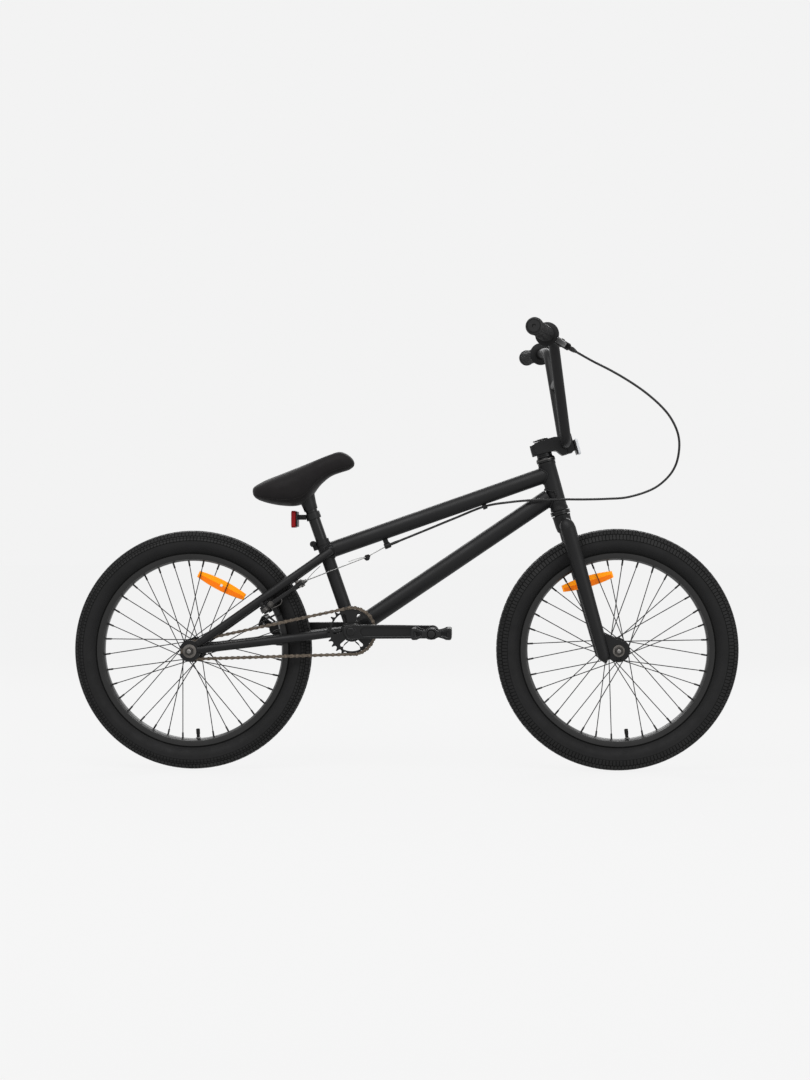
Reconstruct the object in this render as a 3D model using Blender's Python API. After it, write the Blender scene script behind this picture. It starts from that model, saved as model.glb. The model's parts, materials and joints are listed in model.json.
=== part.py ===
"""A 20-inch BMX bike with a rear rim brake, as separate named parts in metres.

+X is the riding direction, +Y the rider's left and +Z up.  The origin is on the ground,
under the middle of the bike's length.
"""

import math

import bmesh
import bpy
from mathutils import Quaternion, Vector

# ---------------------------------------------------------------- driving dimensions
REAR_AXLE = Vector((-0.4614, 0.0, 0.260))
FRONT_AXLE = Vector((0.4590, 0.0, 0.262))
BOTTOM_BRACKET = Vector((-0.1134, 0.0, 0.303))
GAP = 0.0003

HEAD_CENTRE = Vector((0.3208, 0.0, 0.6152))
HEAD_LEAN = math.radians(15.5)
HEAD_UP = Vector((-math.sin(HEAD_LEAN), 0.0, math.cos(HEAD_LEAN)))
HEAD_FORWARD = Vector((math.cos(HEAD_LEAN), 0.0, math.sin(HEAD_LEAN)))
HEAD_HALF = 0.0541
HEAD_RADIUS = 0.01825
HEAD_BORE = 0.0170

SEAT_LEAN = math.radians(19.2)
SEAT_UP = Vector((-math.sin(SEAT_LEAN), 0.0, math.cos(SEAT_LEAN)))
SEAT_BACK = Vector((-math.cos(SEAT_LEAN), 0.0, -math.sin(SEAT_LEAN)))
SEAT_TUBE_LENGTH = 0.2075
SEAT_TUBE_RADIUS = 0.0143
POST_RADIUS = 0.0127
POST_BOTTOM = 0.090
POST_TOP = 0.312

TOP_TUBE_RADIUS = 0.01745
DOWN_TUBE_RADIUS = 0.0190
TUBE_WALL = 0.0016
BB_SHELL_RADIUS = 0.0235
BB_BORE = 0.0206
BB_HALF = 0.034

CHAIN_STAY_RADIUS = 0.0095
SEAT_STAY_RADIUS = 0.00875
STAY_WALL = 0.0014
DROPOUT_RADIUS = 0.023
DROPOUT_SIDES = 18
REAR_SLOT_HALF = 0.0055
FRONT_SLOT_HALF = 0.0052
REAR_HALF_SPACING = 0.055
REAR_PLATE = 0.006
FRONT_HALF_SPACING = 0.050
FRONT_PLATE = 0.005
FORK_LEG_Y = 0.055

RIM_FLANGE_RADIUS = 0.209
RIM_INNER_RADIUS = 0.1935
RIM_HALF_WIDTH = 0.0165
TYRE_HALF_WIDTH = 0.028
WHEEL_SEGMENTS = 40
SPOKE_HALF = 0.0009
BAND_SEGMENTS = 72
HUB_HOLE_RADIUS = 0.0235
SPOKE_OFFSET = 0.0034
FLANGE_HALF = 0.0012

CHAIN_PITCH = 0.0127
SPROCKET_TEETH = 25
COG_TEETH = 9
CHAIN_LINE = -0.0425

CRANK_LENGTH = 0.175
CRANK_ARM_IN = 0.0635
CRANK_ARM_OUT = 0.0765
SPINDLE_RADIUS = 0.0095
PEDAL_LENGTH = 0.084
PEDAL_IN = 0.0905
PEDAL_OUT = 0.1785
PEDAL_HEIGHT = 0.025
LEFT_PEDAL_TILT = math.radians(24.0)

STEM_LOW = 0.0735
STEM_HIGH = 0.1020
CLAMP_LOW = 0.0585
STEM_HALF_WIDTH = 0.0235
BAR_RADIUS = 0.0111
BAR_CLAMP_UP = 0.0821
BAR_CLAMP_FORWARD = 0.0495
BAR_END_Y = 0.365
GRIP_START_Y = 0.228
LEVER_Y = 0.207

BRAKE_PIVOT_ALONG = 0.535
BRAKE_ARM_DROP = 0.0203
BRAKE_ARM_LENGTH = 0.100
PAD_ALONG = 0.0165

HOUSING_RADIUS = 0.0025
WIRE_RADIUS = 0.0010

PAINT = ("frame paint", (0.018, 0.018, 0.019), 0.55, 0.2)
BLACK_METAL = ("black metal", (0.022, 0.022, 0.024), 0.38, 0.5)
GREY_METAL = ("grey steel", (0.25, 0.24, 0.23), 0.4, 0.9)
BRIGHT_METAL = ("bright steel", (0.55, 0.55, 0.54), 0.3, 1.0)
CHAIN_METAL = ("brown chain", (0.12, 0.085, 0.055), 0.42, 0.8)
RUBBER = ("black rubber", (0.020, 0.020, 0.021), 0.85, 0.0)
PLASTIC = ("black plastic", (0.024, 0.024, 0.025), 0.6, 0.0)
COVER = ("saddle cover", (0.022, 0.020, 0.021), 0.8, 0.0)
ORANGE = ("orange lens", (0.95, 0.30, 0.02), 0.25, 0.0)
RED = ("red lens", (0.45, 0.02, 0.02), 0.25, 0.0)
CLEAR = ("clear lens", (0.80, 0.80, 0.80), 0.2, 0.0)


# ---------------------------------------------------------------- helpers
def clear_scene():
    for obj in list(bpy.data.objects):
        bpy.data.objects.remove(obj, do_unlink=True)


def material(look):
    name, colour, roughness, metallic = look
    made = bpy.data.materials.get(name)
    if made:
        return made
    made = bpy.data.materials.new(name)
    made.use_nodes = True
    shader = made.node_tree.nodes["Principled BSDF"]
    shader.inputs["Base Color"].default_value = (*colour, 1.0)
    shader.inputs["Roughness"].default_value = roughness
    shader.inputs["Metallic"].default_value = metallic
    return made


def build(name, shape, look, origin=Vector((0, 0, 0))):
    """One object from (points, faces) in world metres, with its origin where asked."""
    points, faces = shape
    mesh = bpy.data.meshes.new(name)
    mesh.from_pydata([Vector(p) - origin for p in points], [], faces)
    work = bmesh.new()
    work.from_mesh(mesh)
    bmesh.ops.recalc_face_normals(work, faces=work.faces)
    work.to_mesh(mesh)
    work.free()
    mesh.materials.append(material(look))
    obj = bpy.data.objects.new(name, mesh)
    obj.location = origin
    bpy.context.scene.collection.objects.link(obj)
    return obj


def apply_boolean(obj, operation, shapes):
    """Adds one exact Boolean per shape, each with its own hidden helper object."""
    for number, shape in enumerate(shapes):
        helper = build(f"{obj.name} {operation.lower()} {number}", shape, PLASTIC)
        helper.hide_render = True
        helper.display_type = "WIRE"
        step = obj.modifiers.new(helper.name, "BOOLEAN")
        step.operation = operation
        step.solver = "EXACT"
        step.object = helper


def join(obj, *shapes):
    apply_boolean(obj, "UNION", shapes)


def cut(obj, *shapes):
    apply_boolean(obj, "DIFFERENCE", shapes)


def flip_y(point):
    return Vector((point.x, -point.y, point.z))


def mirrored(shape):
    points, faces = shape
    return [flip_y(Vector(p)) for p in points], faces


def side_basis(tangent, near=Vector((0, 1, 0))):
    """Two unit vectors square to the tangent, the first as near as can be to the one given."""
    first = near - tangent * near.dot(tangent)
    if first.length < 0.1:
        near = Vector((0, 0, -1))
        first = near - tangent * near.dot(tangent)
    first.normalize()
    return first, tangent.cross(first)


def bridge_rings(rings, closed_loop=False):
    """Points and faces between rings of equal size; a tube's two ends are capped."""
    size = len(rings[0])
    points = [p for ring in rings for p in ring]
    faces = []
    count = len(rings)
    for i in range(count if closed_loop else count - 1):
        a = i * size
        b = ((i + 1) % count) * size
        for j in range(size):
            k = (j + 1) % size
            faces.append((a + j, a + k, b + k, b + j))
    if not closed_loop:
        faces.append(tuple(reversed(range(size))))
        faces.append(tuple(range((count - 1) * size, count * size)))
    return points, faces


def tube(path, radius, sides=16):
    """A capped round tube along a path; the radius is one number or one for each point."""
    path = [Vector(p) for p in path]
    radii = radius if isinstance(radius, (list, tuple)) else [radius] * len(path)
    rings = []
    across = None
    before = None
    for i, point in enumerate(path):
        ahead = path[min(i + 1, len(path) - 1)] - point
        behind = point - path[max(i - 1, 0)]
        tangent = (ahead.normalized() + behind.normalized()).normalized()
        if across is None:
            across, _ = side_basis(tangent)
        else:
            across = before.rotation_difference(tangent) @ across
        before = tangent
        up = tangent.cross(across)
        ring = []
        for j in range(sides):
            turn = 2 * math.pi * (j + 0.5) / sides
            ring.append(point + (across * math.cos(turn) + up * math.sin(turn)) * radii[i])
        rings.append(ring)
    return bridge_rings(rings)


def turned(profile, origin, axis, segments=20, ring=False):
    """A profile of (radius, height) turned about an axis; a ring profile is a closed loop."""
    axis = Vector(axis).normalized()
    first, second = side_basis(axis, Vector((0, 0, -1)))
    rings = []
    for radius, height in profile:
        level = []
        for j in range(segments):
            turn = 2 * math.pi * j / segments
            arm = first * math.cos(turn) + second * math.sin(turn)
            level.append(Vector(origin) + axis * height + arm * radius)
        rings.append(level)
    return bridge_rings(rings, closed_loop=ring)


def sleeve(outer, inner, low, high, origin, axis, segments=20):
    """A plain ring: a tube wall between two heights."""
    profile = [(outer, low), (outer, high), (inner, high), (inner, low)]
    return turned(profile, origin, axis, segments, ring=True)


def block(centre, half, axes=(Vector((1, 0, 0)), Vector((0, 1, 0)), Vector((0, 0, 1)))):
    """A box of half sizes along three given axes."""
    corners = []
    for i in (-1, 1):
        for j, k in ((-1, -1), (1, -1), (1, 1), (-1, 1)):
            along = axes[0] * (i * half[0]) + axes[1] * (j * half[1]) + axes[2] * (k * half[2])
            corners.append(Vector(centre) + along)
    return bridge_rings([corners[:4], corners[4:]])


def plate(outline, low, high):
    """A flat shape with a given (x, z) outline between two y values."""
    rings = [[Vector((x, y, z)) for x, z in outline] for y in (low, high)]
    return bridge_rings(rings)


def rounded_path(corners, radius, steps=3):
    """The corners of a path replaced by short arcs."""
    corners = [Vector(c) for c in corners]
    path = [corners[0]]
    for before, here, after in zip(corners, corners[1:], corners[2:]):
        start = here + (before - here).normalized() * radius
        end = here + (after - here).normalized() * radius
        for i in range(steps + 1):
            t = i / steps
            path.append(start * (1 - t) ** 2 + here * (2 * t * (1 - t)) + end * t ** 2)
    path.append(corners[-1])
    return path


def smooth_values(keys, t):
    """A Catmull-Rom curve through evenly spaced vectors, read at t from 0 to 1."""
    place = t * (len(keys) - 1)
    i = min(int(place), len(keys) - 2)
    f = place - i
    a = keys[max(i - 1, 0)]
    b = keys[i]
    c = keys[i + 1]
    d = keys[min(i + 2, len(keys) - 1)]
    return 0.5 * ((2 * b) + (c - a) * f + (2 * a - 5 * b + 4 * c - d) * f ** 2
                  + (3 * b - a - 3 * c + d) * f ** 3)


def head(up, forward, y=0.0):
    """A point beside the steering axis: a height along it, a reach ahead of it and a y."""
    return HEAD_CENTRE + HEAD_UP * up + HEAD_FORWARD * forward + Vector((0, y, 0))


def on_seat_tube(distance):
    return BOTTOM_BRACKET + SEAT_UP * distance


def polar(centre, radius, angle, y=0.0):
    return Vector((centre.x + radius * math.cos(angle), y, centre.z + radius * math.sin(angle)))


def joint(name, point, pieces, parent=None):
    """An empty on the joint's axis that carries its pieces."""
    pivot = bpy.data.objects.new(name, None)
    pivot.empty_display_size = 0.03
    bpy.context.scene.collection.objects.link(pivot)
    pivot.location = point
    if parent:
        pivot.parent = parent
        pivot.location = point - parent.matrix_world.translation
    bpy.context.view_layer.update()
    for piece in pieces:
        piece.parent = pivot
        piece.location = piece.location - point
    return pivot


# ---------------------------------------------------------------- frame
SEAT_STAY_TOP = Vector((-0.1607, 0.021, 0.4753))
SEAT_STAY_END = Vector((-0.4449, 0.0585, 0.2746))
STAY_ALONG = Vector((SEAT_STAY_END.x - SEAT_STAY_TOP.x, 0, SEAT_STAY_END.z - SEAT_STAY_TOP.z))
STAY_UP = -STAY_ALONG.normalized()
STAY_UNDER = Vector((-STAY_UP.z, 0, STAY_UP.x)) * -1.0
CHAIN_STAY_PATH = (
    Vector((BOTTOM_BRACKET.x, 0.0240, BOTTOM_BRACKET.z)),
    Vector((-0.155, 0.0252, 0.298)),
    Vector((-0.229, 0.0415, 0.289)),
    Vector((-0.445, 0.0580, 0.263)),
)
TOP_TUBE_START = Vector((-0.1748, 0.0, 0.4722))
TOP_TUBE_END = Vector((0.3122, 0.0, 0.6432))
TOP_TUBE_ALONG = (TOP_TUBE_END - TOP_TUBE_START).normalized()
DOWN_TUBE_END = Vector((0.3122, 0.0, 0.5911))
DOWN_TUBE_ALONG = (DOWN_TUBE_END - BOTTOM_BRACKET).normalized()
CABLE_GUIDE = Vector((0.1729, 0.0, 0.5718))
CABLE_STOP = Vector((-0.0380, 0.0, 0.4868))
HOUSING_END_ALONG = (CABLE_STOP - CABLE_GUIDE).normalized()
CLAMP_BOSS = Vector((-0.1996, 0.0, 0.4902))


def stay_point(t):
    """A point on the left seat stay's centre line, t from 0 at the top to 1 at the dropout."""
    level = SEAT_STAY_TOP + STAY_ALONG * t
    if t < 0.28:
        level.y = SEAT_STAY_TOP.y + (0.040 - SEAT_STAY_TOP.y) * t / 0.28
    else:
        level.y = 0.040 + (SEAT_STAY_END.y - 0.040) * (t - 0.28) / 0.72
    return level


def brake_pivot():
    return stay_point(BRAKE_PIVOT_ALONG) + STAY_UNDER * BRAKE_ARM_DROP


def dropout_outline(centre, radius):
    """The round outline of a dropout plate, as flat sides."""
    outline = []
    for i in range(DROPOUT_SIDES):
        turn = 2 * math.pi * i / DROPOUT_SIDES
        outline.append((centre.x + radius * math.cos(turn), centre.z + radius * math.sin(turn)))
    return outline


def frame():
    seat_top = on_seat_tube(SEAT_TUBE_LENGTH)
    obj = build("frame", tube([BOTTOM_BRACKET, seat_top], SEAT_TUBE_RADIUS, 20), PAINT)
    stay_path = [stay_point(t) for t in (0.0, 0.25, 0.33, 0.6, 1.0)]
    stay = tube(stay_path, SEAT_STAY_RADIUS, 10)
    chain_stay = tube(rounded_path(CHAIN_STAY_PATH, 0.02, 2), CHAIN_STAY_RADIUS, 10)
    top_tube = tube([TOP_TUBE_START + TOP_TUBE_ALONG * 0.006, TOP_TUBE_END + TOP_TUBE_ALONG * 0.003],
                    TOP_TUBE_RADIUS, 16)
    down_tube = tube([BOTTOM_BRACKET, DOWN_TUBE_END + DOWN_TUBE_ALONG * 0.010],
                     DOWN_TUBE_RADIUS, 16)
    head_tube = tube([head(-HEAD_HALF, 0), head(HEAD_HALF, 0)], HEAD_RADIUS, 24)
    shell = turned([(BB_SHELL_RADIUS, -BB_HALF), (BB_SHELL_RADIUS, BB_HALF)],
                   BOTTOM_BRACKET, (0, 1, 0))
    join(obj, shell, head_tube, top_tube, down_tube)
    join(obj, stay, mirrored(stay), chain_stay, mirrored(chain_stay))
    outline = dropout_outline(REAR_AXLE, DROPOUT_RADIUS)
    dropout = plate(outline, REAR_HALF_SPACING, REAR_HALF_SPACING + REAR_PLATE)
    join(obj, dropout, mirrored(dropout))
    chain_bridge = Vector((-0.184, 0.031, 0.2945))
    seat_bridge = stay_point(0.22)
    for end, radius in ((chain_bridge, 0.006), (seat_bridge, 0.006)):
        join(obj, tube([flip_y(end), end], radius, 10))
    join(obj, tube([CLAMP_BOSS + Vector((0, -0.012, 0)), CLAMP_BOSS + Vector((0, 0.012, 0))], 0.0066, 14))
    join(obj, block(on_seat_tube(0.198) + SEAT_BACK * 0.0165, (0.006, 0.006, 0.008),
                    (SEAT_BACK, Vector((0, 1, 0)), SEAT_UP)))
    base = stay_point(BRAKE_PIVOT_ALONG)
    stud = tube([base, base + STAY_UNDER * 0.0290], 0.0050, 12)
    stud_head = tube([base + STAY_UNDER * 0.0278, base + STAY_UNDER * 0.0312], 0.0072, 12)
    join(obj, stud, mirrored(stud), stud_head, mirrored(stud_head))
    guide_half = HOUSING_END_ALONG * 0.005
    join(obj, tube([CABLE_GUIDE - guide_half, CABLE_GUIDE + guide_half], 0.0060, 12))
    stop_half = HOUSING_END_ALONG * 0.007
    stop_up = Vector((-HOUSING_END_ALONG.z, 0, HOUSING_END_ALONG.x)) * -1.0
    join(obj, tube([CABLE_STOP - stop_half, CABLE_STOP + stop_half], 0.0060, 12))
    join(obj, block(CABLE_STOP + stop_up * 0.012, (0.0055, 0.0025, 0.0085),
                    (HOUSING_END_ALONG, Vector((0, 1, 0)), stop_up)))
    # Bores and the inside of each tube; every inside opens into a bore.
    cut(obj, tube([head(-HEAD_HALF - 0.002, 0), head(HEAD_HALF + 0.002, 0)], HEAD_BORE, 24))
    cut(obj, turned([(BB_BORE, -BB_HALF - 0.002), (BB_BORE, BB_HALF + 0.002)],
                    BOTTOM_BRACKET, (0, 1, 0)))
    cut(obj, tube([BOTTOM_BRACKET, on_seat_tube(SEAT_TUBE_LENGTH + 0.010)], POST_RADIUS + GAP, 24))
    cut(obj, tube([TOP_TUBE_START + TOP_TUBE_ALONG * 0.018, TOP_TUBE_END],
                  TOP_TUBE_RADIUS - TUBE_WALL, 16))
    cut(obj, tube([BOTTOM_BRACKET, DOWN_TUBE_END + DOWN_TUBE_ALONG * 0.006],
                  DOWN_TUBE_RADIUS - TUBE_WALL - 0.0002, 16))
    stay_inside = tube([stay_point(t) for t in (0.015, 0.25, 0.33, 0.6, 0.93)],
                       SEAT_STAY_RADIUS - STAY_WALL, 8)
    chain_end = CHAIN_STAY_PATH[3] + (CHAIN_STAY_PATH[2] - CHAIN_STAY_PATH[3]).normalized() * 0.025
    inside_path = rounded_path((*CHAIN_STAY_PATH[:3], chain_end), 0.02, 2)
    chain_inside = tube(inside_path, CHAIN_STAY_RADIUS - STAY_WALL, 8)
    cut(obj, stay_inside, mirrored(stay_inside), chain_inside, mirrored(chain_inside))
    vent = stay_point(0.036)
    cut(obj, tube([flip_y(vent), vent], 0.003, 8))
    slot_end = REAR_AXLE + Vector((-0.03, 0, -0.0016))
    cut(obj, block((REAR_AXLE + slot_end) / 2, (0.0155, 0.07, REAR_SLOT_HALF)))
    cut(obj, turned([(REAR_SLOT_HALF, -0.07), (REAR_SLOT_HALF, 0.07)], REAR_AXLE, (0, 1, 0), 12))
    cut(obj, tube([CLAMP_BOSS + Vector((0, -0.02, 0)), CLAMP_BOSS + Vector((0, 0.02, 0))], 0.0030, 8))
    cut(obj, tube([CABLE_GUIDE - guide_half * 2, CABLE_GUIDE + guide_half * 2], 0.0036, 12))
    cut(obj, tube([CABLE_STOP - stop_half * 2, CABLE_STOP + stop_half * 2], 0.0036, 12))
    return obj


def headset():
    lower = build("headset_lower_bearing", turned(
        [(0.0210, -HEAD_HALF - GAP), (0.0212, -HEAD_HALF - 0.0095), (0.0151, -HEAD_HALF - 0.0095),
         (0.0151, -HEAD_HALF + 0.010), (HEAD_BORE - 0.0004, -HEAD_HALF + 0.010),
         (HEAD_BORE - 0.0004, -HEAD_HALF - GAP)],
        HEAD_CENTRE, HEAD_UP, ring=True), BLACK_METAL)
    upper = build("headset_upper_bearing", turned(
        [(0.0205, HEAD_HALF + GAP), (0.0205, HEAD_HALF + 0.0058), (0.0151, HEAD_HALF + 0.0058),
         (0.0151, HEAD_HALF - 0.010), (HEAD_BORE - 0.0004, HEAD_HALF - 0.010),
         (HEAD_BORE - 0.0004, HEAD_HALF + GAP)],
        HEAD_CENTRE, HEAD_UP, ring=True), BLACK_METAL)
    cover_profile = [(0.0205, HEAD_HALF + 0.0062), (0.0195, HEAD_HALF + 0.0090),
                     (0.0168, HEAD_HALF + 0.0113), (0.0168, STEM_LOW - GAP),
                     (0.0149, STEM_LOW - GAP), (0.0149, HEAD_HALF + 0.0062)]
    cover = build("headset_cover", turned(cover_profile, HEAD_CENTRE, HEAD_UP, 18, ring=True),
                  BLACK_METAL)
    return lower, upper, cover


def bottom_bracket_bearings():
    made = []
    for name, low, high in (("right", -0.0335, -0.0245), ("left", 0.0245, 0.0335)):
        shape = sleeve(BB_BORE - 0.0004, SPINDLE_RADIUS + 0.0004, low, high,
                       BOTTOM_BRACKET, (0, 1, 0))
        made.append(build(f"bottom_bracket_bearing_{name}", shape, GREY_METAL, BOTTOM_BRACKET))
    return made


# ---------------------------------------------------------------- seat
SADDLE_SLOPE = math.radians(22.4)
# Each station is (x, height of the top, height of the skirt, half width), from tail to nose.
SADDLE_STATIONS = (
    (-0.3300, 0.6125, 0.6005, 0.026), (-0.3240, 0.6170, 0.5890, 0.046),
    (-0.3020, 0.6275, 0.5800, 0.061), (-0.2700, 0.6400, 0.5740, 0.068),
    (-0.2360, 0.6535, 0.5742, 0.066), (-0.2090, 0.6645, 0.5880, 0.054),
    (-0.1880, 0.6735, 0.6160, 0.041), (-0.1640, 0.6830, 0.6370, 0.032),
    (-0.1400, 0.6900, 0.6465, 0.028), (-0.1190, 0.6815, 0.6525, 0.023),
    (-0.1085, 0.6680, 0.6580, 0.012),
)


def seat():
    post = build("seat_post", turned(
        [(POST_RADIUS, POST_BOTTOM), (POST_RADIUS, POST_TOP), (POST_RADIUS - 0.002, POST_TOP),
         (POST_RADIUS - 0.002, POST_BOTTOM)],
        BOTTOM_BRACKET, SEAT_UP, ring=True), PAINT, on_seat_tube(POST_TOP))
    cover = build("saddle_cover", saddle_shape(), COVER, on_seat_tube(POST_TOP))
    spine = Vector((math.cos(SADDLE_SLOPE), 0, math.sin(SADDLE_SLOPE)))
    normal = Vector((-spine.z, 0, spine.x))
    pan_centre = on_seat_tube(POST_TOP) - spine * 0.020 + normal * 0.010
    pan_axes = (spine, Vector((0, 1, 0)), normal)
    pan_half = (0.030, 0.017, 0.009)
    socket_path = [on_seat_tube(0.276), on_seat_tube(0.286), on_seat_tube(POST_TOP + 0.006)]
    base = build("saddle_base", tube(socket_path, [0.0150, 0.0158, 0.0195], 20), PLASTIC,
                 on_seat_tube(POST_TOP))
    join(base, block(pan_centre, pan_half, pan_axes))
    bore = turned([(POST_RADIUS + GAP, POST_BOTTOM), (POST_RADIUS + GAP, POST_TOP + GAP)],
                  BOTTOM_BRACKET, SEAT_UP)
    cut(base, bore)
    hollow_half = tuple(h + 0.0006 for h in pan_half)
    cut(cover, block(pan_centre, hollow_half, pan_axes))
    cut(cover, tube([on_seat_tube(0.268), on_seat_tube(0.286), on_seat_tube(POST_TOP + 0.007)],
                    [0.0158, 0.0166, 0.0205], 20))
    bolt_half = Vector((0, 0.0155, 0))
    bolt = build("seat_clamp_bolt", tube([CLAMP_BOSS - bolt_half, CLAMP_BOSS + bolt_half], 0.0026, 8),
                 GREY_METAL, CLAMP_BOSS.copy())
    for side in (-1, 1):
        inner = CLAMP_BOSS + Vector((0, side * 0.0124, 0))
        join(bolt, tube([inner, inner + Vector((0, side * 0.0045, 0))], 0.0048, 12))
    return post, cover, base, bolt


def saddle_shape(sides=16):
    rings = []
    for x, top, bottom, half_width in SADDLE_STATIONS:
        middle = (top + bottom) / 2
        half_height = (top - bottom) / 2
        ring = []
        for j in range(sides):
            turn = 2 * math.pi * j / sides
            across = math.copysign(abs(math.cos(turn)) ** 0.75, math.cos(turn)) * half_width
            up = math.copysign(abs(math.sin(turn)) ** 0.8, math.sin(turn)) * half_height
            ring.append(Vector((x, across, middle + up)))
        rings.append(ring)
    return bridge_rings(rings)


def rear_reflector():
    band_centre = on_seat_tube(0.2630)
    band = sleeve(0.0160, POST_RADIUS + GAP, 0.2555, 0.2705, BOTTOM_BRACKET, SEAT_UP)
    bracket = build("rear_reflector_bracket", band, PLASTIC, band_centre)
    start = band_centre + Vector((-0.0160, 0, -0.003))
    join(bracket, block(start + Vector((-0.0085, 0, 0)), (0.0093, 0.005, 0.0055)))
    join(bracket, block(Vector((-0.2340, 0, 0.5440)), (0.0016, 0.021, 0.0165)))
    lens_shape = block(Vector((-0.2411, 0, 0.5440)), (0.0051, 0.023, 0.0183))
    lens = build("rear_reflector", lens_shape, RED, Vector((-0.2411, 0, 0.5440)))
    return bracket, lens


# ---------------------------------------------------------------- steering
def fork():
    crown_up = -0.0880
    leg_top = head(-0.0790, 0.0042, FORK_LEG_Y)
    leg_shoulder = head(-0.0980, 0.0047, FORK_LEG_Y)
    leg_foot = head(-0.3795, 0.0056, FORK_LEG_Y)
    steerer_path = [head(-0.0990, 0), head(STEM_HIGH - 0.0010, 0)]
    obj = build("fork", tube(steerer_path, 0.0143, 24), PAINT, HEAD_CENTRE.copy())
    crown_end = Vector((0, FORK_LEG_Y, 0))
    crown = tube([head(crown_up, 0.003) - crown_end, head(crown_up, 0.003) + crown_end], 0.0125, 16)
    race = tube([head(-0.0960, 0), head(-HEAD_HALF - 0.0105, 0)], 0.0190, 20)
    leg = tube([leg_top, leg_shoulder, leg_foot], [0.0150, 0.0165, 0.0132], 12)
    outline = [(FRONT_AXLE.x + 0.022 * math.cos(math.radians(a)),
                FRONT_AXLE.z + 0.022 * math.sin(math.radians(a))) for a in range(-110, 81, 10)]
    back_top = head(-0.345, 0.004)
    back_low = head(-0.379, 0.000)
    outline += [(back_top.x, back_top.z), (back_low.x, back_low.z)]
    dropout = plate(outline, FRONT_HALF_SPACING, FRONT_HALF_SPACING + FRONT_PLATE)
    join(obj, crown, race, leg, mirrored(leg), dropout, mirrored(dropout))
    cut(obj, tube([head(-0.060, 0), head(0.110, 0)], 0.0122, 20))
    inside = tube([head(-0.0930, 0.0045, FORK_LEG_Y), head(-0.390, 0.0056, FORK_LEG_Y)],
                  [0.0145, 0.0113], 10)
    cut(obj, inside, mirrored(inside))
    slot_centre = FRONT_AXLE + Vector((0, 0, -0.012))
    cut(obj, block(slot_centre, (FRONT_SLOT_HALF, 0.0565, 0.0125)))
    cut(obj, turned([(FRONT_SLOT_HALF, -0.0565), (FRONT_SLOT_HALF, 0.0565)], FRONT_AXLE,
                    (0, 1, 0), 12))
    return obj


def bar_direction(side):
    """The way the grip end of the bar runs, outwards on the given side."""
    return Vector((-0.2186, side * 1.0, 0.0228)).normalized()


def bar_point(side, y):
    """A point on the straight grip section at a distance y from the middle plane."""
    end = Vector((0.2710, side * BAR_END_Y, 0.9250))
    return end + bar_direction(side) * (y - BAR_END_Y) / abs(bar_direction(side).y)


def handlebar():
    clamp = head(BAR_CLAMP_UP, BAR_CLAMP_FORWARD)
    right = [bar_point(-1, BAR_END_Y), bar_point(-1, 0.164), clamp + Vector((0, -0.071, 0))]
    left = [flip_y(p) for p in reversed(right)]
    path = rounded_path(right + left, 0.030, 3)
    obj = build("handlebar", tube(path, BAR_RADIUS, 12), PAINT, clamp)
    low = right[2]
    high = right[1]
    brace = low + (high - low) * 0.62
    join(obj, tube([brace, flip_y(brace)], 0.008, 12))
    inner_path = [path[0] + (path[0] - path[1]).normalized() * 0.01]
    inner_path += path[1:-1]
    inner_path.append(path[-1] + (path[-1] - path[-2]).normalized() * 0.01)
    cut(obj, tube(inner_path, BAR_RADIUS - 0.0017, 10))
    cut(obj, tube([brace, flip_y(brace)], 0.0066, 12))
    return obj


def stem():
    across = Vector((0, 1, 0))
    axes = (HEAD_FORWARD, across, HEAD_UP)
    middle = (STEM_LOW + STEM_HIGH) / 2
    half_height = (STEM_HIGH - STEM_LOW) / 2
    clamp_middle = (CLAMP_LOW + STEM_HIGH) / 2
    clamp_half = (STEM_HIGH - CLAMP_LOW) / 2
    split = BAR_CLAMP_FORWARD - 0.0025
    body = build("stem", tube([head(STEM_LOW, 0), head(STEM_HIGH, 0)], 0.0225, 24), PAINT,
                 head(middle, 0))
    join(body, block(head(middle, split / 2), (split / 2, STEM_HALF_WIDTH, half_height), axes))
    join(body, block(head(clamp_middle, split - 0.0070), (0.0070, STEM_HALF_WIDTH, clamp_half),
                     axes))
    join(body, block(head(middle, -0.019), (0.0065, 0.0150, half_height), axes))
    cut(body, tube([head(STEM_LOW - 0.01, 0), head(STEM_HIGH + 0.01, 0)], 0.0146, 24))
    clamp = head(BAR_CLAMP_UP, BAR_CLAMP_FORWARD)
    bar_cut = turned([(BAR_RADIUS + GAP, -0.05), (BAR_RADIUS + GAP, 0.05)], clamp, across, 16)
    cut(body, bar_cut)
    face_half = 0.0082
    face_centre = head(clamp_middle, BAR_CLAMP_FORWARD + 0.0005 + face_half)
    face = build("stem_faceplate", block(face_centre, (face_half, STEM_HALF_WIDTH, clamp_half), axes),
                 PAINT, clamp)
    cut(face, bar_cut)
    cap_profile = [(0.0160, STEM_HIGH + 0.0005), (0.0160, STEM_HIGH + 0.0028),
                   (0.0120, STEM_HIGH + 0.0042)]
    cap = build("stem_cap", turned(cap_profile, HEAD_CENTRE, HEAD_UP, 20), BLACK_METAL,
                head(STEM_HIGH, 0))
    return body, face, cap


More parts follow.
